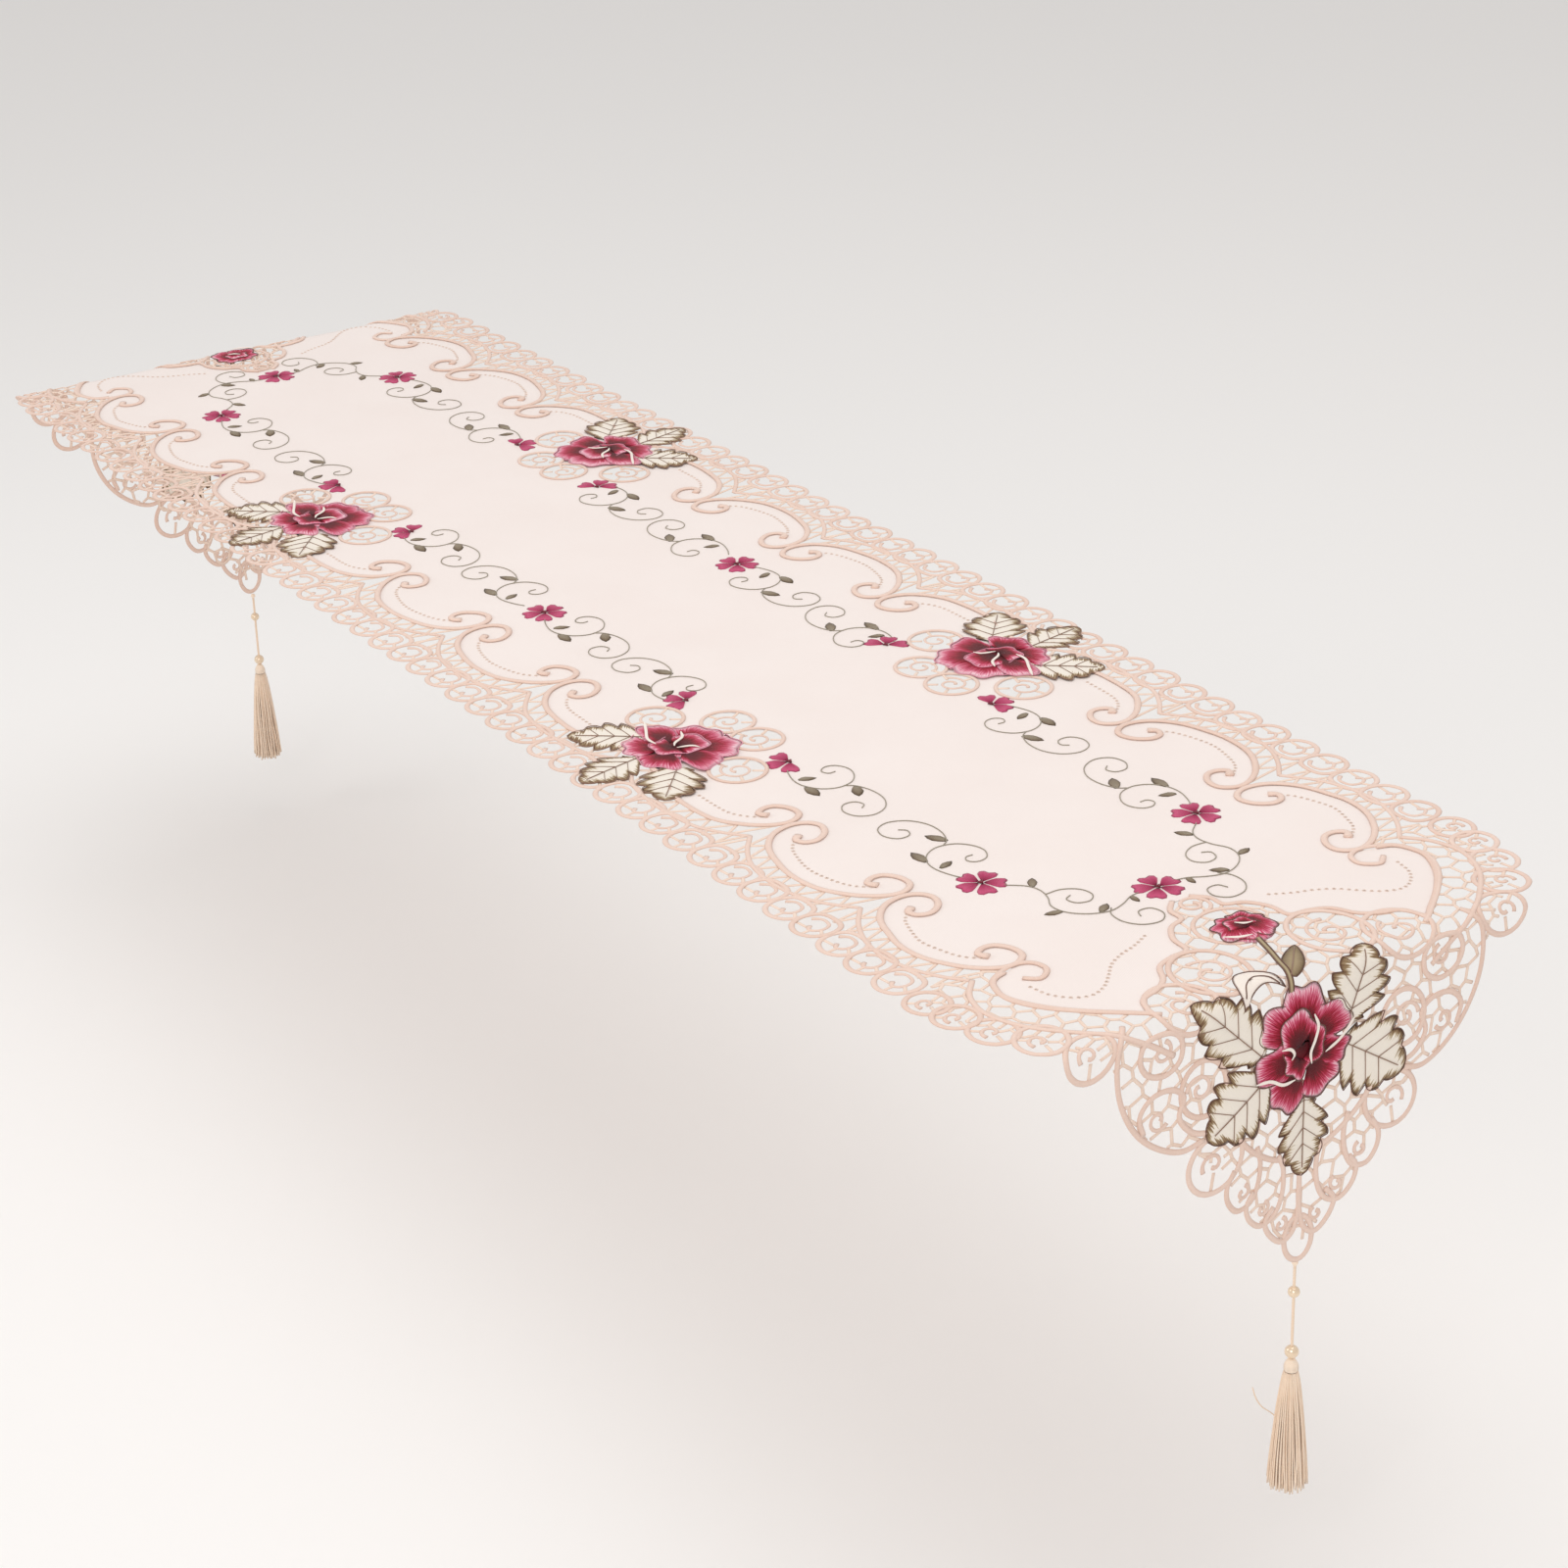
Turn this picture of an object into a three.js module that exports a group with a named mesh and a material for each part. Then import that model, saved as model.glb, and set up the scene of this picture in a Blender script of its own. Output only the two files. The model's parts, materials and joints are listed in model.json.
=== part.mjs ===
// Embroidered table runner, draped over a tabletop.
// Millimetres, +Z up. The origin is the middle of the runner's flat underside, where it lies on the table.
// +X runs along the runner towards its near end, +Y across it. Both ends fold down over the table's ends.
import * as THREE from 'three';

// Overall sizes of the cut piece, laid flat
const CLOTH_WIDTH = 400;
const HALF_LENGTH = 886;
const NEAR_FOLD = 705;
const FAR_FOLD = 668;

// Thicknesses and running gaps
const CLOTH_THICKNESS = 1.0;
const LACE_THICKNESS = 1.2;
const MOTIF_THICKNESS = 1.4;
const SEAT_GAP = 0.3;
const FOLD_GAP = 0.9;
const DROP_GAP = 0.6;
const HINGE_HEIGHT = LACE_THICKNESS / 2;

// Solid field of ground cloth and the openwork round it
const BORDER_WIDTH = 40;
const SCALLOP_DEPTH = 11;
const SCALLOP_JOINTS = [0, 119, 252, 385, 501, 609];
const BORDER_END = 600;
const LOOP_PITCH = 27.3;
const LOOP_DEPTH = 6;
const FIELD_TO_FOLD = 12;

// Appliqué motifs
const SIDE_ROSE_X = 252;
const SIDE_ROSE_TO_EDGE = 83;
const SIDE_ROSE_RADIUS = 33;
const SIDE_LEAF_LENGTH = 46;
const SIDE_LEAF_WIDTH = 30;
const SIDE_LEAF_ANGLES = [-138, -90, -40];
const LEAF_TO_ROSE = 1.3;
const END_ROSE_X = 745;
const END_ROSE_Y = -2;
const END_ROSE_RADIUS = 37;
const END_LEAF_WIDTH = 30;
const BUD_X = 646;
const BUD_RADIUS = 17;
const STEM_WIDTH = 4;
const STEM_FROM = 665;
const STEM_TO = 708;
const CURLED_LEAF_LENGTH = 34;
const BUD_LEAF_LENGTH = 17;

// Tassel, measured down from the lace tip
const KNOT_RADIUS = 1.7;
const CORD_RADIUS = 1.0;
const CORD_LENGTH = 56;
const CORD_STEPS = 16;
const UPPER_BEAD_DROP = 19;
const UPPER_BEAD_RADIUS = 3.6;
const LOWER_BEAD_RADIUS = 4.2;
const HEAD_HEIGHT = 8;
const HEAD_RADIUS = 4.5;
const SKIRT_LENGTH = 78;
const SKIRT_RADIUS = 14;

const FINISHES = {
  satin: { color: 0xf3e7dc, roughness: 0.55, metalness: 0 },
  lace: { color: 0xecccb8, roughness: 0.6, metalness: 0 },
  rose: { color: 0xa82046, roughness: 0.5, metalness: 0 },
  leaf: { color: 0xd8d2bf, roughness: 0.6, metalness: 0 },
  stem: { color: 0x6b4a3c, roughness: 0.6, metalness: 0 },
  pearl: { color: 0xf2dcc4, roughness: 0.25, metalness: 0 },
  silk: { color: 0xe6c79a, roughness: 0.4, metalness: 0 },
};

// Half width of the whole runner against distance from its middle, from the last straight loop to the tip
const END_OUTLINE = [
  [BORDER_END, CLOTH_WIDTH / 2],
  [640, 197],
  [668, 187],
  [690, 172],
  [715, 152],
  [732, 143],
  [755, 122],
  [775, 108],
  [800, 84],
  [827, 55],
  [852, 33],
  [872, 16],
  [HALF_LENGTH, 4],
];

// Half width of the solid field against distance from its middle, past the last scallop
const FIELD_END = [
  [634, 148],
  [660, 134],
  [680, 114],
  [693, 100],
  [676, 82],
  [666, 62],
  [646, 52],
  [636, 34],
  [618, 24],
  [612, 8],
];

// Tips of the five leaves round each end rose
const END_LEAF_TIPS = [
  [709, -76],
  [783, -68],
  [830, 2],
  [783, 70],
  [709, 45],
];

const rad = THREE.MathUtils.degToRad;
const runner = new THREE.Group();

function addMesh(parent, name, geometry, finish) {
  const mesh = new THREE.Mesh(geometry, new THREE.MeshStandardMaterial(FINISHES[finish]));
  mesh.name = name;
  parent.add(mesh);
  return mesh;
}

// A flat plate with the given outline, lying between two heights
function plate(points, bottom, thickness) {
  const shape = new THREE.Shape(points.map(([x, y]) => new THREE.Vector2(x, y)));
  const geometry = new THREE.ExtrudeGeometry(shape, { depth: thickness, bevelEnabled: false });
  geometry.translate(0, 0, bottom);
  return geometry;
}

// Half width of the runner at a distance from its middle
function halfWidthAt(distance) {
  const after = END_OUTLINE.findIndex(([x]) => x >= distance);
  const [x1, y1] = END_OUTLINE[after];
  const [x0, y0] = END_OUTLINE[Math.max(after - 1, 0)];
  return x1 === x0 ? y1 : y0 + ((y1 - y0) * (distance - x0)) / (x1 - x0);
}

// One side of the solid field: a row of shallow scallops between the joints
function scallopedSide() {
  const inner = CLOTH_WIDTH / 2 - BORDER_WIDTH - SCALLOP_DEPTH;
  const half = [[0, inner]];
  for (let i = 1; i < SCALLOP_JOINTS.length; i += 1) {
    const from = SCALLOP_JOINTS[i - 1];
    const to = SCALLOP_JOINTS[i];
    for (const t of [0.15, 0.35, 0.65, 0.85, 1]) {
      half.push([from + (to - from) * t, inner + SCALLOP_DEPTH * Math.sin(Math.PI * t)]);
    }
  }
  return half;
}

// Outline of one end of the field, kept clear of the fold
function fieldEnd(fold) {
  return FIELD_END.map(([x, y]) => [Math.min(x, fold - FIELD_TO_FOLD), y]);
}

function groundCloth() {
  const side = scallopedSide();
  const quarterNear = [...side, ...fieldEnd(NEAR_FOLD)];
  const quarterFar = [...side, ...fieldEnd(FAR_FOLD)];
  const back = [...quarterFar.map(([x, y]) => [-x, y]).reverse(), ...quarterNear.slice(1)];
  const front = back.map(([x, y]) => [x, -y]).reverse();
  return [...back, ...front];
}

// A line moved sideways, to its left, by a gap that stays the same at its corners
function movedLeft(points, gap) {
  const normals = points.slice(1).map(([x, y], i) => {
    const along = new THREE.Vector2(x - points[i][0], y - points[i][1]).normalize();
    return new THREE.Vector2(-along.y, along.x);
  });
  return points.map(([x, y], i) => {
    const before = normals[Math.max(i - 1, 0)];
    const after = normals[Math.min(i, normals.length - 1)];
    const miter = before.clone().add(after).normalize();
    const reach = gap / Math.max(miter.dot(after), 0.4);
    return [x + miter.x * reach, y + miter.y * reach];
  });
}

// Openwork strip along one long side, from the field's scallops to the outer loops
function sideBorder(sign) {
  const seam = BORDER_END - SEAT_GAP / 2;
  const scallops = movedLeft(scallopedSide(), SEAT_GAP).filter(([x]) => x > 1 && x < seam - 1);
  const first = CLOTH_WIDTH / 2 - BORDER_WIDTH - SCALLOP_DEPTH + SEAT_GAP * 1.5;
  const last = scallops[scallops.length - 1][1];
  const inner = [[-seam, last], ...scallops.map(([x, y]) => [-x, y]).reverse(), [0, first], ...scallops, [seam, last]];
  const loops = Math.round((2 * BORDER_END) / LOOP_PITCH);
  const pitch = (2 * seam) / loops;
  const outer = [];
  for (let i = 0; i < loops; i += 1) {
    for (const t of [0, 0.25, 0.75]) {
      const y = CLOTH_WIDTH / 2 - LOOP_DEPTH * (1 - Math.sin(Math.PI * t));
      outer.push([seam - (i + t) * pitch, y]);
    }
  }
  outer.push([-seam, CLOTH_WIDTH / 2 - LOOP_DEPTH]);
  return [...inner, ...outer].map(([x, y]) => [x, sign * y]);
}

// Openwork on the tabletop between the end of the field and the fold
function endLaceTop(fold) {
  const start = BORDER_END + SEAT_GAP / 2;
  const edge = fold - FOLD_GAP;
  const field = movedLeft([...scallopedSide().slice(-3), ...fieldEnd(fold)], SEAT_GAP);
  const inner = field.filter(([x]) => x > start);
  const outer = [
    [start, CLOTH_WIDTH / 2],
    ...END_OUTLINE.filter(([x]) => x > start && x < edge),
    [edge, halfWidthAt(edge)],
  ];
  const half = [...inner.slice().reverse(), [start, field[1][1] + 1], ...outer];
  return [...half, ...half.map(([x, y]) => [x, -y]).reverse()];
}

// Openwork point hanging below the fold, in distance below the fold and distance across
function pointLace(fold) {
  const outer = [
    [DROP_GAP, halfWidthAt(fold + DROP_GAP)],
    ...END_OUTLINE.filter(([x]) => x > fold + DROP_GAP + 1).map(([x, y]) => [x - fold, y]),
  ];
  return [...outer, ...outer.map(([x, y]) => [x, -y]).reverse()];
}

// Ragged round outline of an open rose
function roseOutline(cx, cy, radius, turn) {
  const steps = 40;
  return Array.from({ length: steps }, (_, i) => {
    const angle = (2 * Math.PI * i) / steps;
    const r = radius * (0.86 + 0.14 * Math.abs(Math.cos(2.5 * angle + turn)));
    return [cx + r * Math.cos(angle), cy + r * Math.sin(angle)];
  });
}

// Toothed leaf outline from its base towards its tip
function leafOutline(base, tip, width) {
  const start = new THREE.Vector2(...base);
  const along = new THREE.Vector2(...tip).sub(start);
  const across = new THREE.Vector2(-along.y, along.x).normalize();
  const profile = [[0.02, 0.18], [0.22, 0.8], [0.34, 0.72], [0.48, 1], [0.6, 0.74], [0.76, 0.66], [0.84, 0.4], [1, 0.05]];
  const side = (sign) => profile.map(([t, w]) => {
    const point = start.clone().addScaledVector(along, t).addScaledVector(across, (sign * w * width) / 2);
    return [point.x, point.y];
  });
  return [...side(-1), ...side(1).reverse()];
}

function ellipse(cx, cy, rx, ry, steps) {
  return Array.from({ length: steps }, (_, i) => {
    const angle = (2 * Math.PI * i) / steps;
    return [cx + rx * Math.cos(angle), cy + ry * Math.sin(angle)];
  });
}

// A solid of revolution about the vertical, from (radius, height) pairs read from the bottom up
function turned(profile, segments) {
  return new THREE.LatheGeometry(profile.map(([r, z]) => new THREE.Vector2(r, z)), segments).rotateX(Math.PI / 2);
}

// Bead threaded on the cord, its hole right through
function threadedBead(radius) {
  const hole = CORD_RADIUS + SEAT_GAP;
  const reach = Math.sqrt(radius * radius - hole * hole);
  const points = [];
  const steps = 8;
  const open = Math.asin(hole / radius);
  for (let i = 0; i <= steps; i += 1) {
    const angle = -Math.PI / 2 + open + ((Math.PI - 2 * open) * i) / steps;
    points.push([radius * Math.cos(angle), radius * Math.sin(angle)]);
  }
  points.push([hole, reach], [hole, -reach], points[0]);
  return turned(points.filter(([r, z], i) => i === 0 || Math.hypot(r - points[i - 1][0], z - points[i - 1][1]) > 0.01), 16);
}

// Ball with a blind hole from the given side, where a cord end is held
function socketBall(radius, depth, fromTop) {
  const hole = CORD_RADIUS + SEAT_GAP;
  const open = Math.asin(hole / radius);
  const points = [[0, -radius]];
  const steps = 8;
  for (let i = 1; i <= steps; i += 1) {
    const angle = -Math.PI / 2 + ((Math.PI - open) * i) / steps;
    points.push([radius * Math.cos(angle), radius * Math.sin(angle)]);
  }
  const rim = points[points.length - 1][1];
  points.push([hole, rim - depth], [0, rim - depth]);
  const geometry = turned(points, 16);
  return fromTop ? geometry : geometry.rotateX(Math.PI);
}

// Points of the tassel cord, straight down from the knot
const CORD_POINTS = [
  [0, 0, -0.6],
  [0, 0, -UPPER_BEAD_DROP],
  [0, 0, -CORD_LENGTH],
];

function tassel(parent, prefix) {
  const group = new THREE.Group();
  parent.add(group);
  const lowerBead = -CORD_LENGTH - LOWER_BEAD_RADIUS + 1.5;
  addMesh(group, `${prefix}_tassel_knot`, socketBall(KNOT_RADIUS, 1.2, false), 'silk');
  const route = new THREE.CatmullRomCurve3(CORD_POINTS.map((p) => new THREE.Vector3(...p)));
  const section = new THREE.Shape(ellipse(0, 0, CORD_RADIUS, CORD_RADIUS, 8).map(([x, y]) => new THREE.Vector2(x, y)));
  const cord = new THREE.ExtrudeGeometry(section, { steps: CORD_STEPS, extrudePath: route, bevelEnabled: false });
  addMesh(group, `${prefix}_tassel_cord`, cord, 'silk');
  addMesh(group, `${prefix}_upper_bead`, threadedBead(UPPER_BEAD_RADIUS), 'pearl').position.z = -UPPER_BEAD_DROP;
  addMesh(group, `${prefix}_lower_bead`, socketBall(LOWER_BEAD_RADIUS, 2.5, true), 'pearl').position.z = lowerBead;
  const headTop = lowerBead - LOWER_BEAD_RADIUS - SEAT_GAP;
  const head = turned([
    [0, -HEAD_HEIGHT],
    [HEAD_RADIUS, -HEAD_HEIGHT],
    [HEAD_RADIUS, -HEAD_HEIGHT * 0.45],
    [HEAD_RADIUS * 0.6, -HEAD_HEIGHT * 0.15],
    [HEAD_RADIUS * 0.35, 0],
    [0, 0],
  ], 16);
  addMesh(group, `${prefix}_tassel_head`, head, 'silk').position.z = headTop;
  const skirt = turned([
    [0, -SKIRT_LENGTH],
    [SKIRT_RADIUS, -SKIRT_LENGTH],
    [SKIRT_RADIUS * 0.9, -SKIRT_LENGTH * 0.6],
    [SKIRT_RADIUS * 0.66, -SKIRT_LENGTH * 0.28],
    [HEAD_RADIUS, -1],
    [HEAD_RADIUS * 0.8, 0],
    [0, 0],
  ], 20);
  addMesh(group, `${prefix}_tassel_skirt`, skirt, 'silk').position.z = headTop - HEAD_HEIGHT - SEAT_GAP;
  return group;
}

// Everything past the field at one end: openwork, bud, stem, rose with five leaves, and the tassel
function runnerEnd(prefix, fold, turn) {
  const flat = new THREE.Group();
  flat.rotation.z = turn;
  runner.add(flat);
  addMesh(flat, `${prefix}_end_lace`, plate(endLaceTop(fold), 0, LACE_THICKNESS), 'lace');

  const drop = new THREE.Group();
  drop.position.set(fold, 0, HINGE_HEIGHT);
  drop.rotation.y = Math.PI / 2;
  flat.add(drop);
  const face = LACE_THICKNESS / 2;
  addMesh(drop, `${prefix}_point_lace`, plate(pointLace(fold), -face, LACE_THICKNESS), 'lace');

  // Keeps a motif on the side of the fold that most of it lies on
  const motif = (name, points, finish) => {
    const middle = points.reduce((sum, [x]) => sum + x, 0) / points.length;
    if (middle < fold) {
      const kept = points.map(([x, y]) => [Math.min(x, fold - FOLD_GAP - SEAT_GAP), y]);
      return addMesh(flat, name, plate(kept, LACE_THICKNESS + SEAT_GAP, MOTIF_THICKNESS), finish);
    }
    const kept = points.map(([x, y]) => [Math.max(x - fold, DROP_GAP + SEAT_GAP), y]);
    return addMesh(drop, name, plate(kept, face + SEAT_GAP, MOTIF_THICKNESS), finish);
  };
  motif(`${prefix}_bud`, ellipse(BUD_X, 3, BUD_RADIUS, BUD_RADIUS, 20), 'rose');
  motif(`${prefix}_bud_stem`, [
    [STEM_FROM, 2 + STEM_WIDTH / 2],
    [STEM_FROM, 2 - STEM_WIDTH / 2],
    [STEM_TO, -10 - STEM_WIDTH / 2],
    [STEM_TO, -10 + STEM_WIDTH / 2],
  ], 'stem');
  motif(`${prefix}_bud_leaf`, leafOutline([702, 0], [702 - BUD_LEAF_LENGTH, 8], 9), 'leaf');
  motif(`${prefix}_curled_leaf`, leafOutline([701, -16], [692, -16 - CURLED_LEAF_LENGTH], 15), 'leaf');
  motif(`${prefix}_rose`, roseOutline(END_ROSE_X, END_ROSE_Y, END_ROSE_RADIUS, 0.4), 'rose');
  const heart = new THREE.Vector2(END_ROSE_X, END_ROSE_Y);
  END_LEAF_TIPS.forEach(([x, y], i) => {
    const tip = new THREE.Vector2(x, y);
    const base = tip.clone().sub(heart).setLength(END_ROSE_RADIUS + LEAF_TO_ROSE).add(heart);
    motif(`${prefix}_leaf_${i + 1}`, leafOutline(base.toArray(), [x, y], END_LEAF_WIDTH), 'leaf');
  });

  const hanging = tassel(flat, prefix);
  hanging.position.set(fold, 0, HINGE_HEIGHT - (HALF_LENGTH - fold) - SEAT_GAP - KNOT_RADIUS);
}

function sideRose(prefix, x, sign) {
  const cluster = new THREE.Group();
  cluster.position.set(x, sign * (CLOTH_WIDTH / 2 - SIDE_ROSE_TO_EDGE), LACE_THICKNESS + SEAT_GAP);
  cluster.rotation.z = sign > 0 ? Math.PI : 0;
  runner.add(cluster);
  addMesh(cluster, `${prefix}_rose`, plate(roseOutline(0, 0, SIDE_ROSE_RADIUS, 0), 0, MOTIF_THICKNESS), 'rose');
  SIDE_LEAF_ANGLES.forEach((degrees, i) => {
    const angle = rad(degrees);
    const at = (reach) => [reach * Math.cos(angle), reach * Math.sin(angle)];
    const base = at(SIDE_ROSE_RADIUS + LEAF_TO_ROSE);
    const tip = at(SIDE_ROSE_RADIUS + LEAF_TO_ROSE + SIDE_LEAF_LENGTH);
    const leaf = plate(leafOutline(base, tip, SIDE_LEAF_WIDTH), 0, MOTIF_THICKNESS);
    addMesh(cluster, `${prefix}_leaf_${i + 1}`, leaf, 'leaf');
  });
}

addMesh(runner, 'ground_cloth', plate(groundCloth(), 0, CLOTH_THICKNESS), 'satin');
addMesh(runner, 'front_lace_border', plate(sideBorder(-1).reverse(), 0, LACE_THICKNESS), 'lace');
addMesh(runner, 'back_lace_border', plate(sideBorder(1), 0, LACE_THICKNESS), 'lace');
sideRose('front_near', SIDE_ROSE_X, -1);
sideRose('front_far', -SIDE_ROSE_X, -1);
sideRose('back_near', SIDE_ROSE_X, 1);
sideRose('back_far', -SIDE_ROSE_X, 1);
runnerEnd('near', NEAR_FOLD, 0);
runnerEnd('far', FAR_FOLD, Math.PI);

export default runner;
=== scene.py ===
"""An embroidered table runner with cutwork lace ends and two tassels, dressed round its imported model.

Flat pattern sizes are in millimetres: u runs along the runner, v across it and h up from its underside.
"""
import json
import logging
import math
from dataclasses import dataclass
from enum import Enum
from typing import Iterable, Sequence

import bmesh
import bpy
import numpy as np
from mathutils import Matrix, Vector
from mathutils.geometry import delaunay_2d_cdt


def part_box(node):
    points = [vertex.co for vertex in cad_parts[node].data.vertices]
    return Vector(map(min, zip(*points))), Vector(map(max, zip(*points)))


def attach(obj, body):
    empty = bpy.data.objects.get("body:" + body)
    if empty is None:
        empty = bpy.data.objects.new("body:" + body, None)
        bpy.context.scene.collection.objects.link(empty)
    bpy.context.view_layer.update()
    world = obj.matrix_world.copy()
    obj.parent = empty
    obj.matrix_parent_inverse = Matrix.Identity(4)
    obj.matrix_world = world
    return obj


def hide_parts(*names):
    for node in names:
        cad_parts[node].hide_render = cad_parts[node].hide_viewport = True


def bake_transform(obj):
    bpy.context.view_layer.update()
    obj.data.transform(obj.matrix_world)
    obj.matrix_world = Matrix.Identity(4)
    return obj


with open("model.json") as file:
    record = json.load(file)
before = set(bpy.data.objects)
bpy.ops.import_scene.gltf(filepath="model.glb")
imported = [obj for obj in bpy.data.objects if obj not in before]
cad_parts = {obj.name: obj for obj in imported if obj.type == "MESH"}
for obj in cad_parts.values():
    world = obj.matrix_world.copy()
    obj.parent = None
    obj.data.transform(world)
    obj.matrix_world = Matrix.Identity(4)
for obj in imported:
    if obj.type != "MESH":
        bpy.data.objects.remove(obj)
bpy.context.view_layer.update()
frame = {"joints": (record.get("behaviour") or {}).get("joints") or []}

LOG = logging.getLogger("table_runner")
MM = 0.001
TAU = 2 * math.pi
SEED = 7
RANDOM = np.random.default_rng(SEED)
PATH_STEP = 2.4
FINE_STEP = 1.6
WELD = 1e-7
GOLDEN_TURN = 0.618034

Points = Sequence[Sequence[float]]


class End(Enum):
    """One end of the runner; the value is the way it points along the runner."""

    NEAR = 1
    FAR = -1

    @property
    def label(self) -> str:
        """Name used for this end's pieces."""
        return self.name.lower()


class Side(Enum):
    """One long side of the runner; the value is the way it points across it."""

    FRONT = -1
    BACK = 1

    @property
    def label(self) -> str:
        """Name used for this side's pieces."""
        return self.name.lower()


# ------------------------------------------------------------------ paths in the flat pattern


def evened(line: np.ndarray, step: float) -> np.ndarray:
    """Spaces the points of a line evenly.

    Args:
        line: Points of the line, one a row.
        step: Wanted spacing.

    Returns:
        The new points, one a row, with both ends kept.
    """
    lengths = np.concatenate([[0], np.cumsum(np.linalg.norm(np.diff(line, axis=0), axis=1))])
    count = max(int(round(lengths[-1] / step)), 3)
    at = np.linspace(0, lengths[-1], count + 1)
    return np.column_stack([np.interp(at, lengths, column) for column in line.T])


def curve(points: Points, step: float = PATH_STEP, closed: bool = False) -> np.ndarray:
    """Draws a smooth line through a few points.

    Args:
        points: Points that the line passes through.
        step: Spacing of the returned points.
        closed: Whether the line comes back to its first point.

    Returns:
        Evenly spaced points of the line; a closed line repeats its first point at its end.
    """
    given = np.asarray(points, float)
    if closed:
        given = np.vstack([given[-1], given, given[0], given[1]])
    else:
        given = np.vstack([2 * given[0] - given[1], given, 2 * given[-1] - given[-2]])
    t = np.linspace(0, 1, 10, endpoint=False)[:, None]
    runs = []
    for a, b, c, d in zip(given, given[1:], given[2:], given[3:]):
        runs.append(b + 0.5 * t * (c - a + t * (2 * a - 5 * b + 4 * c - d + t * (3 * (b - c) + d - a))))
    return evened(np.vstack([*runs, given[-2]]), step)


def oval(centre: Sequence[float], across: float, along: float, turn: float = 0.0) -> np.ndarray:
    """Draws a closed oval line.

    Args:
        centre: Its middle.
        across: Half its width before it turns.
        along: Half its height before it turns.
        turn: Its turn in degrees.

    Returns:
        Evenly spaced points; the first one is repeated at the end.
    """
    angle = np.linspace(0, TAU, 25)
    c, s = math.cos(math.radians(turn)), math.sin(math.radians(turn))
    x, y = across * np.cos(angle), along * np.sin(angle)
    line = np.column_stack([centre[0] + c * x - s * y, centre[1] + s * x + c * y])
    return evened(line, PATH_STEP)


def spiral(centre: Sequence[float], outer: float, inner: float, start: float, turns: float) -> np.ndarray:
    """Draws a spiral line that winds in towards a centre.

    Args:
        centre: Its middle.
        outer: Radius of its outer end.
        inner: Radius of its inner end.
        start: Its outer end's angle in degrees.
        turns: How many times it goes round; a negative number goes clockwise.

    Returns:
        Evenly spaced points from the outer end to the inner one.
    """
    t = np.linspace(0, 1, 30)
    angle = math.radians(start) + TAU * turns * t
    radius = outer + (inner - outer) * t
    line = np.column_stack([centre[0] + radius * np.cos(angle), centre[1] + radius * np.sin(angle)])
    return evened(line, FINE_STEP)


def mirrored(line: np.ndarray) -> list[np.ndarray]:
    """Repeats a line of one quarter of the runner in all four quarters.

    Args:
        line: Points with u and v positive, one a row.

    Returns:
        The four lines, the near ones first.
    """
    return [line * signs for signs in ((1, 1), (1, -1), (-1, 1), (-1, -1))]


def inside(points: np.ndarray, polygon: np.ndarray) -> np.ndarray:
    """Tells which points lie inside a polygon.

    Args:
        points: Points to test, one a row.
        polygon: Corners of the polygon, one a row.

    Returns:
        One truth value for each point.
    """
    x, y = points[:, 0], points[:, 1]
    result = np.zeros(len(points), bool)
    for (x0, y0), (x1, y1) in zip(polygon, np.roll(polygon, -1, axis=0)):
        if y0 != y1:
            crosses = (y0 > y) != (y1 > y)
            result ^= crosses & (x < (x1 - x0) * (y - y0) / (y1 - y0) + x0)
    return result


# ------------------------------------------------------------------ drape


@dataclass(frozen=True)
class Drape:
    """How the flat runner lies on the table top and bends down over both of the table's ends.

    Attributes:
        near_fold: Distance of the near fold from the runner's middle.
        far_fold: Distance of the far fold from the runner's middle.
        bend: Radius of the bend over a table's end.
        half_lace: Half the lace's thickness.
        swell: Height of the slight swells on the table top.
        swell_ease: Length over which they die out towards a fold.
        sway: Depth of the waves in a hanging end.
        sway_ease: Length over which these grow below a fold.
    """

    near_fold: float
    far_fold: float
    bend: float = 9.0
    half_lace: float = 0.6
    swell: float = 0.35
    swell_ease: float = 40.0
    sway: float = 1.6
    sway_ease: float = 60.0

    def fold(self, end: End) -> float:
        """Finds an end's fold.

        Args:
            end: The end.

        Returns:
            The fold's distance from the runner's middle, in millimetres.
        """
        return self.near_fold if end is End.NEAR else self.far_fold

    def place(self, flat: np.ndarray) -> np.ndarray:
        """Moves points of the flat pattern to where they lie.

        Args:
            flat: Rows of (u, v, h) in millimetres.

        Returns:
            Rows of (x, y, z) in metres.
        """
        u, v, h = flat.T
        reach = np.abs(u)
        fold = np.where(u < 0, self.far_fold, self.near_fold)
        start = fold - self.half_lace - self.bend
        turn = np.clip((reach - start) / (fold + self.bend - start), 0, 1) * math.pi / 2
        bent_x = start + (self.bend + h) * np.sin(turn)
        bent_z = -self.bend + (self.bend + h) * np.cos(turn)
        drop = np.maximum(reach - fold - self.bend, 0)
        ripple = self.sway * np.clip(drop / self.sway_ease, 0, 1) * (1 + np.sin(v * 0.052 + u * 0.021))
        x = np.where(reach <= start, reach, bent_x + ripple)
        ease = np.clip((start - reach) / self.swell_ease, 0, 1)
        swell = self.swell * ease * (1 + np.sin(u * 0.031 + v * 0.018) * np.cos(v * 0.043 - u * 0.011))
        z = np.where(reach <= start, h + swell, bent_z - drop)
        return np.column_stack([np.sign(u + 1e-9) * x, v, z]) * MM

    def blend(self, piece: bpy.types.Object, end: End) -> None:
        """Bakes a piece's place into its mesh; its points already lie where the drape placed them, over the
        table top and the drops.

        Args:
            piece: The piece, in its place.
            end: An end of the runner; only fold points that are not used are worked out from it.
        """
        fold = self.fold(end) * MM
        start = (end.value * (fold - self.bend * MM), 0, 0)
        stop = (end.value * fold, 0, -self.bend * MM)
        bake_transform(piece)


# ------------------------------------------------------------------ patches and the meshes made of them


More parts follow.
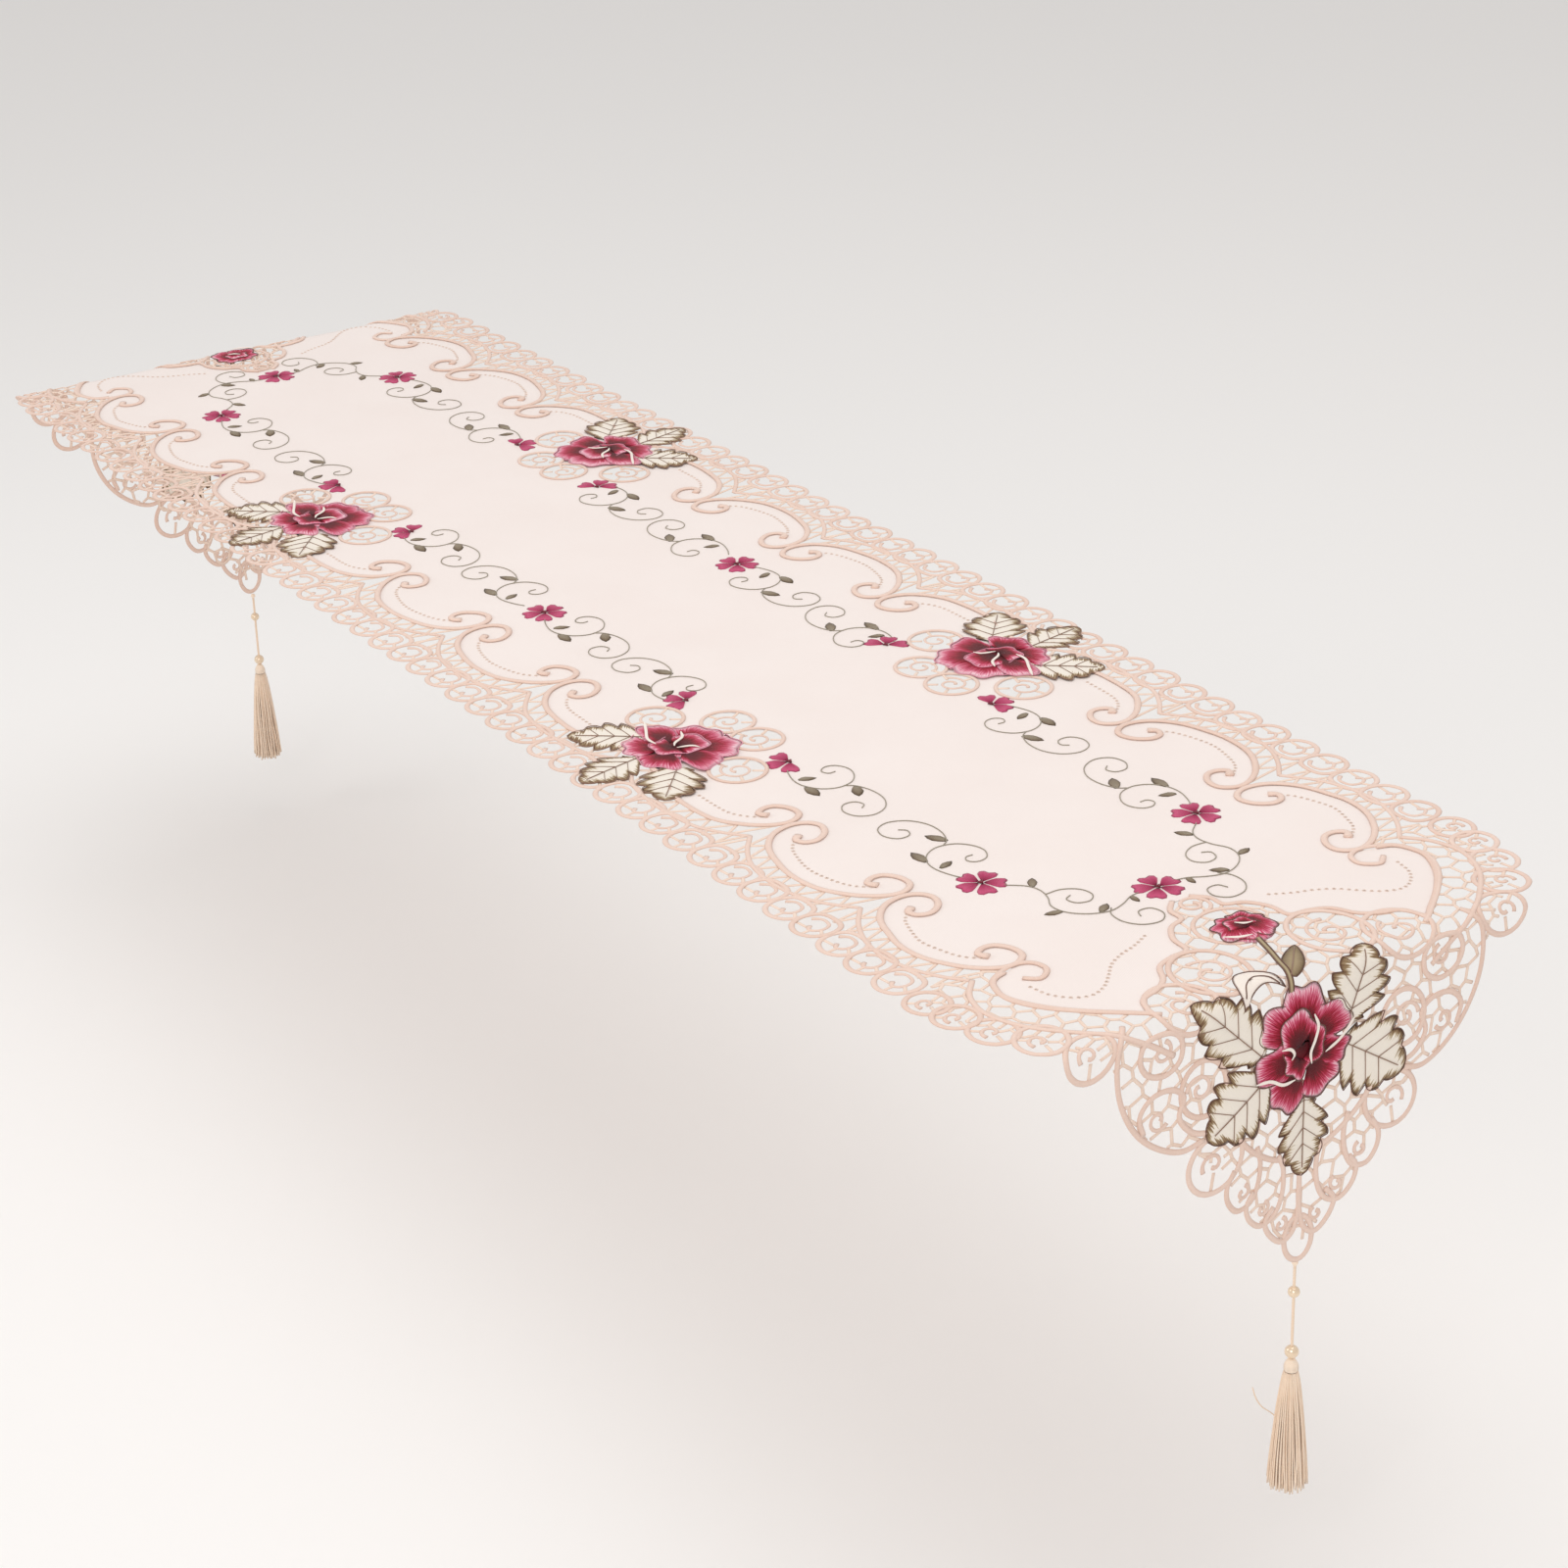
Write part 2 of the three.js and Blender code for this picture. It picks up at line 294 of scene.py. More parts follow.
@dataclass
class Patch:
    """A small grid of surface: its points, its own map in millimetres and a fade from 0 to 1."""

    points: np.ndarray
    map: np.ndarray
    fade: np.ndarray
    finish: int = 0


class Quilt:
    """Gathers patches with the same number of columns and makes one mesh of them."""

    def __init__(self, name: str, columns: int) -> None:
        """Starts an empty quilt.

        Args:
            name: The piece's name.
            columns: Number of columns that every patch has.
        """
        self.name = name
        self.columns = columns
        self.patches: list[Patch] = []

    def cord(
        self,
        path: np.ndarray,
        width: float,
        height: float,
        base: float,
        closed: bool = False,
        swollen: float = 1.0,
        finish: int = 0,
    ) -> None:
        """Adds a stitched cord with a low round section.

        Args:
            path: Middle line in the flat pattern, one point a row.
            width: Full width.
            height: Full height.
            base: Height of its underside.
            closed: Whether its path comes back to its start.
            swollen: Width of its two ends, as a share of its width.
            finish: Which of the piece's finishes it takes.
        """
        along = np.gradient(path, axis=0)
        if closed:
            along[0] = along[-1] = path[1] - path[-2]
        along /= np.maximum(np.linalg.norm(along, axis=1), 1e-9)[:, None]
        across = np.column_stack([-along[:, 1], along[:, 0]])
        length = np.concatenate([[0], np.cumsum(np.linalg.norm(np.diff(path, axis=0), axis=1))])
        scale = np.ones(len(path))
        if not closed:
            ends = np.minimum(length, length[-1] - length)
            scale += (swollen - 1) * np.exp(-((ends / (1.6 * width)) ** 2))
            order = np.r_[0, np.arange(len(path)), len(path) - 1]
            path, across, length, scale = path[order], across[order], length[order], scale[order]
            scale[0] = scale[-1] = 0
        angle = np.linspace(0, TAU, self.columns)
        reach = scale[:, None] * np.cos(angle) * width / 2
        points = np.empty((len(path), self.columns, 3))
        points[..., :2] = path[:, None] + across[:, None] * reach[..., None]
        points[..., 2] = base + height * (0.5 + 0.5 * scale[:, None] * np.sin(angle))
        turned = np.broadcast_to(angle / TAU * 2 * (width + height), reach.shape)
        mapped = np.stack([turned, np.broadcast_to(length[:, None], reach.shape)], axis=-1)
        # the fade is 0 on the cord's crown and 1 on its flanks; the materials darken with it, painted shade
        # on the flanks
        self.patches.append(Patch(points, mapped, np.abs(np.cos(angle)) * np.ones_like(reach), finish))

    def petal(
        self,
        base: Sequence[float],
        edge: np.ndarray,
        level: float,
        crown: float,
        ruffle: float = 0.0,
        rows: int = 9,
        finish: int = 0,
    ) -> None:
        """Adds a padded petal that spreads from its base to a rim.

        Args:
            base: Point where the petal's threads meet.
            edge: Points of the rim, from one side to the other.
            level: Height of its underside.
            crown: Height of its middle over its underside.
            ruffle: How far the rim waves in and out.
            rows: Rows of surface between base and rim.
            finish: Which of the piece's finishes it takes.
        """
        rim = curve(edge, 1.0)
        steps = np.linspace(0, len(rim) - 1, self.columns)
        rim = np.column_stack([np.interp(steps, np.arange(len(rim)), column) for column in rim.T])
        s = np.linspace(0, 1, self.columns)
        spokes = rim - np.asarray(base, float)
        spokes = spokes * (1 + ruffle * np.cos(s * TAU * 3) / np.linalg.norm(spokes, axis=1))[:, None]
        t = np.concatenate([np.linspace(0, 1, rows), np.linspace(1, 0, rows)[1:]])
        top = np.concatenate([np.ones(rows), np.zeros(rows - 1)])
        arch = (1 - np.abs(2 * s - 1) ** 5) ** 0.5
        rise = (1 - np.abs(2 * np.clip(t, 0, 1) - 1) ** 4) ** 0.5
        points = np.empty((len(t), self.columns, 3))
        points[..., :2] = np.asarray(base, float) + spokes[None] * t[:, None, None]
        points[..., 2] = level + crown * (top * rise)[:, None] * arch
        reach = np.linalg.norm(spokes, axis=1)
        width = np.sum(np.linalg.norm(np.diff(rim, axis=0), axis=1))
        mapped = np.stack([np.broadcast_to(s * width, (len(t), len(s))), t[:, None] * reach], axis=-1)
        self.patches.append(Patch(points, mapped, np.broadcast_to(t[:, None], mapped.shape[:2]), finish))

    def tube(self, path: np.ndarray, radius: np.ndarray, twist: float = 0.0, groove: float = 0.0) -> None:
        """Adds an upright round thread.

        Args:
            path: Middle line as (x, y, z) rows in millimetres, running mostly up or down.
            radius: Radius at each point.
            twist: Turns a millimetre of the groove between two plies.
            groove: Depth of that groove, as a share of the radius.
        """
        order = np.r_[0, np.arange(len(path)), len(path) - 1]
        path, radius = path[order], radius[order].copy()
        radius[0] = radius[-1] = 0
        angle = np.linspace(0, TAU, self.columns)
        length = np.concatenate([[0], np.cumsum(np.linalg.norm(np.diff(path, axis=0), axis=1))])
        ply = 1 - groove * np.abs(np.cos(angle - TAU * twist * length[:, None])) ** 3
        points = np.empty((len(path), self.columns, 3))
        points[..., 0] = path[:, None, 0] + radius[:, None] * ply * np.cos(angle)
        points[..., 1] = path[:, None, 1] + radius[:, None] * ply * np.sin(angle)
        points[..., 2] = path[:, None, 2]
        turned = np.broadcast_to(angle / TAU * 4, points.shape[:2])
        mapped = np.stack([turned, np.broadcast_to(length[:, None], points.shape[:2])], axis=-1)
        # the fade climbs from 0 to 1 once round the thread, so the silk, which darkens with it, is darker
        # round one side of each thread
        self.patches.append(Patch(points, mapped, np.broadcast_to(angle / TAU, points.shape[:2])))

    def made(self, finishes: Sequence[bpy.types.Material], drape: Drape | None) -> bpy.types.Object:
        """Makes the piece from one long grid, cut apart between patches.

        Args:
            finishes: Materials that the patches' finish numbers stand for.
            drape: How the flat pattern lies, or None if the points are upright already.

        Returns:
            The new object, with its place in its mesh.
        """
        rows = [len(patch.points) for patch in self.patches]
        cells = self.columns - 1
        grid = bmesh.new()
        bmesh.ops.create_grid(grid, x_segments=cells, y_segments=sum(rows) - 1, size=0.5)
        grid.faces.ensure_lookup_table()
        seams = np.cumsum(rows)[:-1] - 1
        spare = [grid.faces[row * cells + column] for row in seams for column in range(cells)]
        bmesh.ops.delete(grid, geom=spare, context="FACES")
        mesh = bpy.data.meshes.new(self.name)
        grid.to_mesh(mesh)
        grid.free()
        flat = np.vstack([patch.points.reshape(-1, 3) for patch in self.patches])
        placed = drape.place(flat) if drape else flat * MM
        mesh.vertices.foreach_set("co", placed.astype(np.float32).ravel())
        corners = np.empty(len(mesh.loops), np.int32)
        mesh.loops.foreach_get("vertex_index", corners)
        mapped = np.vstack([patch.map.reshape(-1, 2) for patch in self.patches])
        mesh.uv_layers.new(name="thread").data.foreach_set("uv", mapped[corners].astype(np.float32).ravel())
        fade = np.concatenate([np.asarray(patch.fade, np.float32).ravel() for patch in self.patches])
        mesh.attributes.new("fade", "FLOAT", "POINT").data.foreach_set("value", fade)
        tones = [np.full(patch.points.shape[:2], RANDOM.random()).ravel() for patch in self.patches]
        tone = np.concatenate(tones).astype(np.float32)
        mesh.attributes.new("tone", "FLOAT", "POINT").data.foreach_set("value", tone)
        kinds = [np.full((count - 1) * cells, patch.finish) for count, patch in zip(rows, self.patches)]
        for finish in finishes:
            mesh.materials.append(finish)
        mesh.polygons.foreach_set("material_index", np.concatenate(kinds).astype(np.int32))
        mesh.polygons.foreach_set("use_smooth", np.ones(len(mesh.polygons), bool))
        closed = bmesh.new()
        closed.from_mesh(mesh)
        bmesh.ops.remove_doubles(closed, verts=closed.verts, dist=WELD)
        bmesh.ops.recalc_face_normals(closed, faces=closed.faces)
        closed.to_mesh(mesh)
        closed.free()
        return linked(self.name, mesh)


def linked(name: str, data: bpy.types.ID) -> bpy.types.Object:
    """Puts new data in the scene as an object.

    Args:
        name: The object's name.
        data: Its mesh, light or camera.

    Returns:
        The object, at the origin.
    """
    made = bpy.data.objects.new(name, data)
    bpy.context.scene.collection.objects.link(made)
    return made


def report(piece: bpy.types.Object, nodes: Iterable[str] = ()) -> bpy.types.Object:
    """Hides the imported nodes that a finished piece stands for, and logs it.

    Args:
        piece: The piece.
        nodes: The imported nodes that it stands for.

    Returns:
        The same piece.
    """
    names = list(nodes)
    if names:
        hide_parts(*names)
    LOG.info("%s: %d faces, stands for %s", piece.name, len(piece.data.polygons), names or "no node")
    return piece


# ------------------------------------------------------------------ finishes


class Wire:
    """A value inside a material; sums on it add Math nodes."""

    def __init__(self, dye: "Dye", socket: bpy.types.NodeSocket) -> None:
        """Wraps one output socket of a material's node."""
        self.dye = dye
        self.socket = socket

    def maths(self, operation: str, *values: "Wire | float") -> "Wire":
        """Adds one Math node.

        Args:
            operation: What it works out.
            *values: Wires or numbers that it works on.

        Returns:
            Its result.
        """
        return self.dye.node("ShaderNodeMath", dict(enumerate(values)), operation=operation)

    def __add__(self, other: "Wire | float") -> "Wire":
        """Sum."""
        return self.maths("ADD", self, other)

    __radd__ = __add__

    def __sub__(self, other: "Wire | float") -> "Wire":
        """Difference."""
        return self.maths("SUBTRACT", self, other)

    def __mul__(self, other: "Wire | float") -> "Wire":
        """Product."""
        return self.maths("MULTIPLY", self, other)

    __rmul__ = __mul__

    def sine(self) -> "Wire":
        """Sine of this value, brought to 0 to 1."""
        return self.maths("SINE", self) * 0.5 + 0.5


class Dye:
    """One material and the nodes in it."""

    def __init__(self, name: str, **fixed: float | Sequence[float]) -> None:
        """Makes the material and sets the shader's uniform values.

        Args:
            name: The material's name.
            **fixed: Values for the shader's sockets, with _ for each space in their names.
        """
        self.material = bpy.data.materials.new(name)
        self.material.use_nodes = True
        self.tree = self.material.node_tree
        self.shader = self.tree.nodes["Principled BSDF"]
        for key, value in fixed.items():
            self.shader.inputs[key.replace("_", " ")].default_value = value

    def node(self, kind: str, inputs: dict | None = None, output: int | str = 0, **settings: object) -> Wire:
        """Adds any node.

        Args:
            kind: The node's type.
            inputs: Values or wires for its sockets, by name or number.
            output: Which output is returned.
            **settings: The node's own settings, set first; `stops` are a ramp's (place, colour) pairs.

        Returns:
            The chosen output.
        """
        made = self.tree.nodes.new(kind)
        stops = settings.pop("stops", None)
        for key, value in settings.items():
            setattr(made, key, value)
        if stops:
            while len(made.color_ramp.elements) < len(stops):
                made.color_ramp.elements.new(1.0)
            for element, (place, colour) in zip(made.color_ramp.elements, stops):
                element.position = place
                element.color = (*colour, 1)
        for key, value in (inputs or {}).items():
            if isinstance(value, Wire):
                self.tree.links.new(value.socket, made.inputs[key])
            else:
                made.inputs[key].default_value = value
        return Wire(self, made.outputs[output])

    def mix(self, share: Wire, first: Wire | Sequence[float], second: Sequence[float]) -> Wire:
        """Mixes two colours.

        Args:
            share: Share of the second colour, 0 to 1.
            first: The first colour, as a wire or as red, green and blue.
            second: The second colour, as red, green and blue.

        Returns:
            The mixed colour.
        """
        start = first if isinstance(first, Wire) else (*first, 1)
        return self.node("ShaderNodeMix", {0: share, 6: start, 7: (*second, 1)}, 2, data_type="RGBA")

    def feed(self, socket: str, value: Wire) -> None:
        """Leads a wire to the shader.

        Args:
            socket: Name of the shader's socket.
            value: The wire.
        """
        self.tree.links.new(value.socket, self.shader.inputs[socket])

    def bump(self, height: Wire, strength: float, distance: float) -> None:
        """Raises the surface.

        Args:
            height: Height from 0 to 1.
            strength: Share of the full effect.
            distance: Rise in metres at a height of 1.
        """
        inputs = {"Height": height, "Strength": strength, "Distance": distance}
        self.feed("Normal", self.node("ShaderNodeBump", inputs))

    def thread_map(self) -> tuple[Wire, Wire]:
        """Both coordinates of the piece's own map, in millimetres."""
        stitched = self.node("ShaderNodeUVMap", uv_map="thread")
        across = self.node("ShaderNodeSeparateXYZ", {0: stitched})
        return across, Wire(self, across.socket.node.outputs[1])

    def attribute(self, name: str) -> Wire:
        """Reads one of the piece's own attributes.

        Args:
            name: The attribute's name.

        Returns:
            Its value.
        """
        return self.node("ShaderNodeAttribute", output="Fac", attribute_name=name)

    def place(self) -> Wire:
        """Place on the object, in metres."""
        return self.node("ShaderNodeTexCoord", output="Object")

    def noise(self, where: Wire, scale: float, detail: float = 2.0) -> Wire:
        """Adds soft noise.

        Args:
            where: Place that it varies with.
            scale: Its fineness.
            detail: Number of finer layers.

        Returns:
            The noise, from 0 to 1.
        """
        return self.node("ShaderNodeTexNoise", {"Vector": where, "Scale": scale, "Detail": detail}, "Fac")

    def stretched(self, x: Wire, y: Wire, along: float, across: float) -> Wire:
        """Adds noise on the piece's own map, drawn out in threads.

        Args:
            x: Place across the threads, in millimetres.
            y: Place along the threads, in millimetres.
            along: Its fineness along the threads.
            across: Its fineness across the threads.

        Returns:
            The noise, from 0 to 1.
        """
        where = self.node("ShaderNodeCombineXYZ", {0: x * across, 1: y * along})
        return self.noise(where, 1.0, 3.0)


def tint(red: int, green: int, blue: int) -> tuple[float, float, float]:
    """Turns a colour as a dye chart gives it into the shader's linear values.

    Args:
        red: Its red, 0 to 255.
        green: Its green, 0 to 255.
        blue: Its blue, 0 to 255.

    Returns:
        Linear red, green and blue, 0 to 1.
    """
    return tuple(((c / 255 + 0.055) / 1.055) ** 2.4 if c > 10 else c / 3294.6 for c in (red, green, blue))


@dataclass(frozen=True)
class GroundSatin:
    """Ivory satin ground cloth with a fine weave and soft shading from handling."""

    light: tuple = tint(246, 236, 231)
    dark: tuple = tint(236, 221, 214)
    thread: float = 0.00055
    relief: float = 0.00025
    relief_strength: float = 0.35

    def made(self) -> bpy.types.Material:
        """The satin's material."""
        dye = Dye("ground_satin", Roughness=0.5, Sheen_Weight=0.25, Sheen_Roughness=0.4)
        place = dye.place()
        wave = TAU / (20 * self.thread)
        bands = []
        for direction, scale in (("X", wave), ("Y", wave * 0.5)):
            inputs = {"Vector": place, "Scale": scale, "Distortion": 0.4, "Detail": 1.0}
            bands.append(dye.node("ShaderNodeTexWave", inputs, "Fac", bands_direction=direction))
        warp, weft = bands
        slub = dye.noise(dye.node("ShaderNodeMapping", {"Vector": place, "Scale": (60, 900, 1)}), 1.0)
        cloud = dye.noise(place, 14.0, 4.0)
        weave = warp * 0.45 + weft * 0.35 + slub * 0.2
        dye.feed("Base Color", dye.mix(cloud * 0.55 + weave * 0.35, self.light, self.dark))
        dye.feed("Roughness", 0.42 + 0.2 * slub)
        dye.bump(weave + cloud * 0.6, self.relief_strength, self.relief)
        return dye.material


@dataclass(frozen=True)
class StitchedCord:
    """Satin stitch worked over a cord: close slanted threads across its length, with painted shade in the
    grooves between stitches and on the cord's flanks.
    """

    name: str
    light: tuple
    dark: tuple
    pitch: float = 0.42
    slant: float = 1.6
    sheen: float = 0.3
    relief: float = 0.00012
    relief_strength: float = 0.6

    def made(self) -> bpy.types.Material:
        """The cord's material."""
        dye = Dye(self.name, Sheen_Weight=self.sheen, Sheen_Roughness=0.35, Specular_IOR_Level=0.35)
        x, y = dye.thread_map()
        stitch = (y * (TAU / self.pitch) + x * self.slant).sine()
        fray = dye.stretched(x, y, 1.4, 0.5)
        patchy = dye.noise(dye.place(), 120.0)
        edge = dye.attribute("fade")
        tone = dye.attribute("tone")
        # painted shade: the stitch stripes darken the grooves between stitches, and the fade darkens a
        # cord's flanks (on a petal it darkens towards the rim, round a tube one side of the thread); fray,
        # patchy and tone are random thread tone
        shade = stitch * 0.28 + fray * 0.32 + patchy * 0.2 + edge * 0.18 + tone * 0.18 - 0.12
        dye.feed("Base Color", dye.mix(shade, self.light, self.dark))
        dye.feed("Roughness", 0.42 + 0.25 * fray)
        dye.bump(stitch * 0.7 + fray * 0.3, self.relief_strength, self.relief)
        return dye.material


@dataclass(frozen=True)
class ShadedThread:
    """Long and short stitch that shades from a petal's or leaf's base to its rim."""

    name: str
    stops: tuple
    streak: float = 0.22
    pitch: float = 0.34
    shadow: tuple = (0.02, 0.005, 0.008)
    relief: float = 0.00014
    relief_strength: float = 0.55

    def made(self) -> bpy.types.Material:
        """The thread's material."""
        dye = Dye(self.name, Sheen_Weight=0.06, Sheen_Roughness=0.3, Specular_IOR_Level=0.22)
        x, y = dye.thread_map()
        fade = dye.attribute("fade")
        streaks = dye.stretched(x, y, 0.12, 1.3)
        fine = dye.stretched(x, y, 0.3, 6.0)
        tone = dye.attribute("tone")
        level = fade + (streaks - 0.5) * (2 * self.streak) + (fine - 0.5) * 0.22 + (tone - 0.5) * 0.1
        ramp = dye.node("ShaderNodeValToRGB", {0: level}, stops=self.stops)
        dye.feed("Base Color", dye.mix(fine * 0.16, ramp, self.shadow))
        dye.feed("Roughness", 0.34 + 0.28 * fine)
        stitch = (x * (TAU / self.pitch)).sine()
        dye.bump(stitch * 0.6 + fine * 0.6, self.relief_strength, self.relief)
        return dye.material


@dataclass(frozen=True)
class Pearl:
    """Glossy pearl bead."""

    light: tuple = tint(246, 226, 198)
    dark: tuple = tint(216, 180, 142)
    cloudiness: float = 150.0
    relief: float = 0.0001
    relief_strength: float = 0.1

    def made(self) -> bpy.types.Material:
        """The pearl's material."""
        dye = Dye("pearl_bead", Metallic=0.35, Coat_Weight=1.0, Coat_Roughness=0.04, Specular_IOR_Level=0.8)
        cloud = dye.noise(dye.place(), self.cloudiness)
        dye.feed("Base Color", dye.mix(cloud * 0.6, self.light, self.dark))
        dye.feed("Roughness", 0.10 + 0.12 * cloud)
        dye.bump(cloud, self.relief_strength, self.relief)
        return dye.material


@dataclass(frozen=True)
class PaleFloor:
    """Plain pale studio floor."""

    light: tuple = tint(246, 244, 242)
    dark: tuple = tint(240, 238, 236)

    def made(self) -> bpy.types.Material:
        """The floor's material."""
        dye = Dye("pale_floor")
        cloud = dye.noise(dye.place(), 3.0)
        dye.feed("Base Color", dye.mix(cloud * 0.15, self.light, self.dark))
        dye.feed("Roughness", 0.7 + 0.1 * cloud)
        return dye.material


class Finishes:
    """Every finish of the runner, made once."""

    def __init__(self) -> None:
        """Makes the materials."""
        self.satin = GroundSatin().made()
        self.lace = StitchedCord("lace_cord", tint(244, 221, 208), tint(218, 180, 160)).made()
        self.bar = StitchedCord("lace_bar", tint(248, 230, 216), tint(224, 190, 168), 0.5).made()
        rose = (
            (0.0, tint(60, 0, 10)),
            (0.50, tint(108, 0, 20)),
            (0.67, tint(172, 12, 48)),
            (0.80, tint(208, 72, 108)),
            (0.91, tint(238, 152, 174)),
            (1.0, tint(252, 212, 220)),
        )
        self.rose = ShadedThread("rose_thread", rose, 0.42).made()
        leaf = (
            (0.0, tint(252, 243, 230)),
            (0.50, tint(250, 240, 226)),
            (0.58, tint(214, 196, 166)),
            (0.70, tint(158, 132, 98)),
            (1.0, tint(116, 84, 60)),
        )
        self.leaf = ShadedThread("leaf_thread", leaf, 0.7).made()
        bud = ((0.0, tint(190, 172, 138)), (0.6, tint(170, 150, 116)), (1.0, tint(116, 94, 68)))
        self.bud = ShadedThread("bud_leaf_thread", bud, 0.1).made()
        flower = ((0.0, tint(120, 14, 52)), (0.35, tint(178, 40, 90)), (1.0, tint(214, 92, 132)))
        self.flower = ShadedThread("flower_thread", flower, 0.14).made()
        self.knot = StitchedCord("flower_knot", tint(122, 10, 40), tint(84, 0, 24), 0.5).made()
        self.outline = StitchedCord("outline_thread", tint(120, 82, 66), tint(84, 52, 42), 0.5).made()
        sprig = ((0.0, tint(160, 148, 128)), (0.6, tint(146, 130, 108)), (1.0, tint(112, 94, 74)))
        self.sprig = ShadedThread("sprig_leaf_thread", sprig, 0.1).made()
        self.vein = StitchedCord("vein_thread", tint(156, 124, 104), tint(126, 94, 76), 0.5).made()
        self.blush = StitchedCord("petal_edge", tint(238, 168, 186), tint(204, 112, 138), 0.5).made()
        self.cream = StitchedCord("cream_thread", tint(255, 248, 238), tint(232, 214, 202), 0.4).made()
        self.stem = StitchedCord("stem_thread", tint(176, 166, 148), tint(128, 116, 98), 0.6).made()
        self.pearl = Pearl().made()
        silk = tint(255, 238, 219), tint(232, 199, 168)
        self.silk = StitchedCord("tassel_silk", *silk, pitch=0.9, slant=2.0, sheen=0.5).made()
        self.floor = PaleFloor().made()


# ------------------------------------------------------------------ the pattern


@dataclass(frozen=True)
class Pattern:
    """Where the runner's scrolls, loops and rings lie, in its quarter with u and v positive.

    Attributes:
        joints: Where one scallop of the ground cloth ends and the next one starts.
        long_scallop: Length over which a scallop passes under a side rose.
        scallop_top: How far out a scallop's middle lies.
        ladder_low: How far out the ladder's cord lies at a joint.
        ladder_high: How far out it lies at a scallop's middle.
        border_end: Where the side border's loops end.
        loops: Number of loops along a side.
        rose: Heart of a side rose.
        rose_rings: The rings beside it, each as (u from its heart, v, radius).
    """

    joints: tuple = (0.0, 119.0, 385.0, 501.0, 609.0)
    long_scallop: float = 200.0
    scallop_top: float = 161.0
    ladder_low: float = 152.0
    ladder_high: float = 175.0
    border_end: float = 600.0
    loops: int = 44
    rose: tuple = (252.0, 117.0)
    rose_rings: tuple = (
        (-49.0, 108.0, 18.0),
        (-17.0, 74.0, 17.0),
        (17.0, 74.0, 17.0),
        (49.0, 108.0, 18.0),
    )

    def crest(self, start: float, stop: float) -> list[tuple[float, float]]:
        """Finds the top of one scallop, which dips under a rose if it is a long one.

        Args:
            start: Where the scallop starts.
            stop: Where it ends.

        Returns:
            Points of its top.
        """
        if stop - start <= self.long_scallop:
            return [((start + stop) / 2, self.scallop_top)]
        return [(start + 70, 160), (210, 154), self.rose_foot(), (294, 154), (stop - 70, 160)]

    def scroll(self, start: float, stop: float) -> np.ndarray:
        """Draws the scroll over one scallop, with a curl at each end.

        Args:
            start: Where the scallop starts.
            stop: Where it ends.

        Returns:
            Its middle line.
        """
        left = [(17, 129), (21, 133.5), (27, 131), (28.5, 123), (22, 114), (12, 111), (4, 117), (2, 128)]
        left += [(7, 141), (20, 152), (38, 158)]
        right = [(35, 158), (16, 147), (5, 134), (2, 122), (8, 112.5), (18, 112), (26.5, 118), (27.5, 126)]
        right += [(23, 131.5), (17.5, 128)]
        rise = [(start + u, v) for u, v in left]
        fall = [(stop - u, v) for u, v in right]
        return curve([*rise, *self.crest(start, stop), *fall])

    def rose_foot(self) -> tuple[float, float]:
        """Where the long scroll passes under a side rose."""
        return self.rose[0], self.rose[1] + 31

    def field_side(self) -> list[tuple[float, float]]:
        """Edge of the ground cloth along one side, under the middle of its scrolls."""
        edge = []
        for start, stop in zip(self.joints, self.joints[1:]):
            rise = [(start + 1, 124), (start + 4, 136), (start + 10, 145)]
            rise += [(start + 22, 153.5), (start + 38, 158)]
            fall = [(stop - 35, 158), (stop - 16, 147.5), (stop - 6, 136), (stop - 1, 124)]
            edge += [*rise, *self.crest(start, stop), *fall]
        return edge

    def field_end(self) -> list[tuple[float, float]]:
        """Edge of the ground cloth round one end, from the last scallop to the runner's middle line."""
        corner = [(611, 132), (615, 142), (624, 147), (636, 148), (654, 139), (671, 124)]
        corner += [(686, 106), (692, 97)]
        rings = [(680, 91), (675, 78), (668, 68), (655, 60), (650, 48), (648, 36), (634, 34), (622, 26)]
        return corner + rings + [(617, 15), (606, 14), (597, 6)]

    def ladder(self, start: float, stop: float) -> np.ndarray:
        """Draws the cord outside one scallop.

        Args:
            start: Where the scallop starts.
            stop: Where it ends.

        Returns:
            Its middle line.
        """
        steps = ((0, self.ladder_low), (16, self.ladder_low + 12), (34, self.ladder_high - 3))
        rise = [(start + u, v) for u, v in steps]
        fall = [(stop - u, v) for u, v in reversed(steps)]
        return curve([*rise, ((start + stop) / 2, self.ladder_high), *fall])

    def side_loop(self, middle: float) -> np.ndarray:
        """Draws one of the round loops along the side's edge.

        Args:
            middle: Where the loop's middle lies along the runner.

        Returns:
            Its closed middle line.
        """
        shape = [(-10, 174), (-13.4, 184), (-9.5, 194), (0, 198)]
        shape += [(9.5, 194), (13.4, 184), (10, 174), (0, 171.5)]
        return curve([(middle + u, v) for u, v in shape], closed=True)

    def end_loops(self) -> list[tuple[np.ndarray, tuple[float, float], float]]:
        """Loops round one end's edge: their lines, their middles and their curls' sizes."""
        shapes = [
            ((616, 186), 13, 12.5, 0),
            ((638, 183), 13, 13, -15),
            ((662, 176), 14, 13.5, -30),
            ((684, 161), 14.5, 15.5, -45),
            ((708, 144), 15, 17, -40),
            ((800, 62), 17, 19, -42),
        ]
        return [(oval(c, along, across, turn), c, min(across, along)) for c, along, across, turn in shapes]

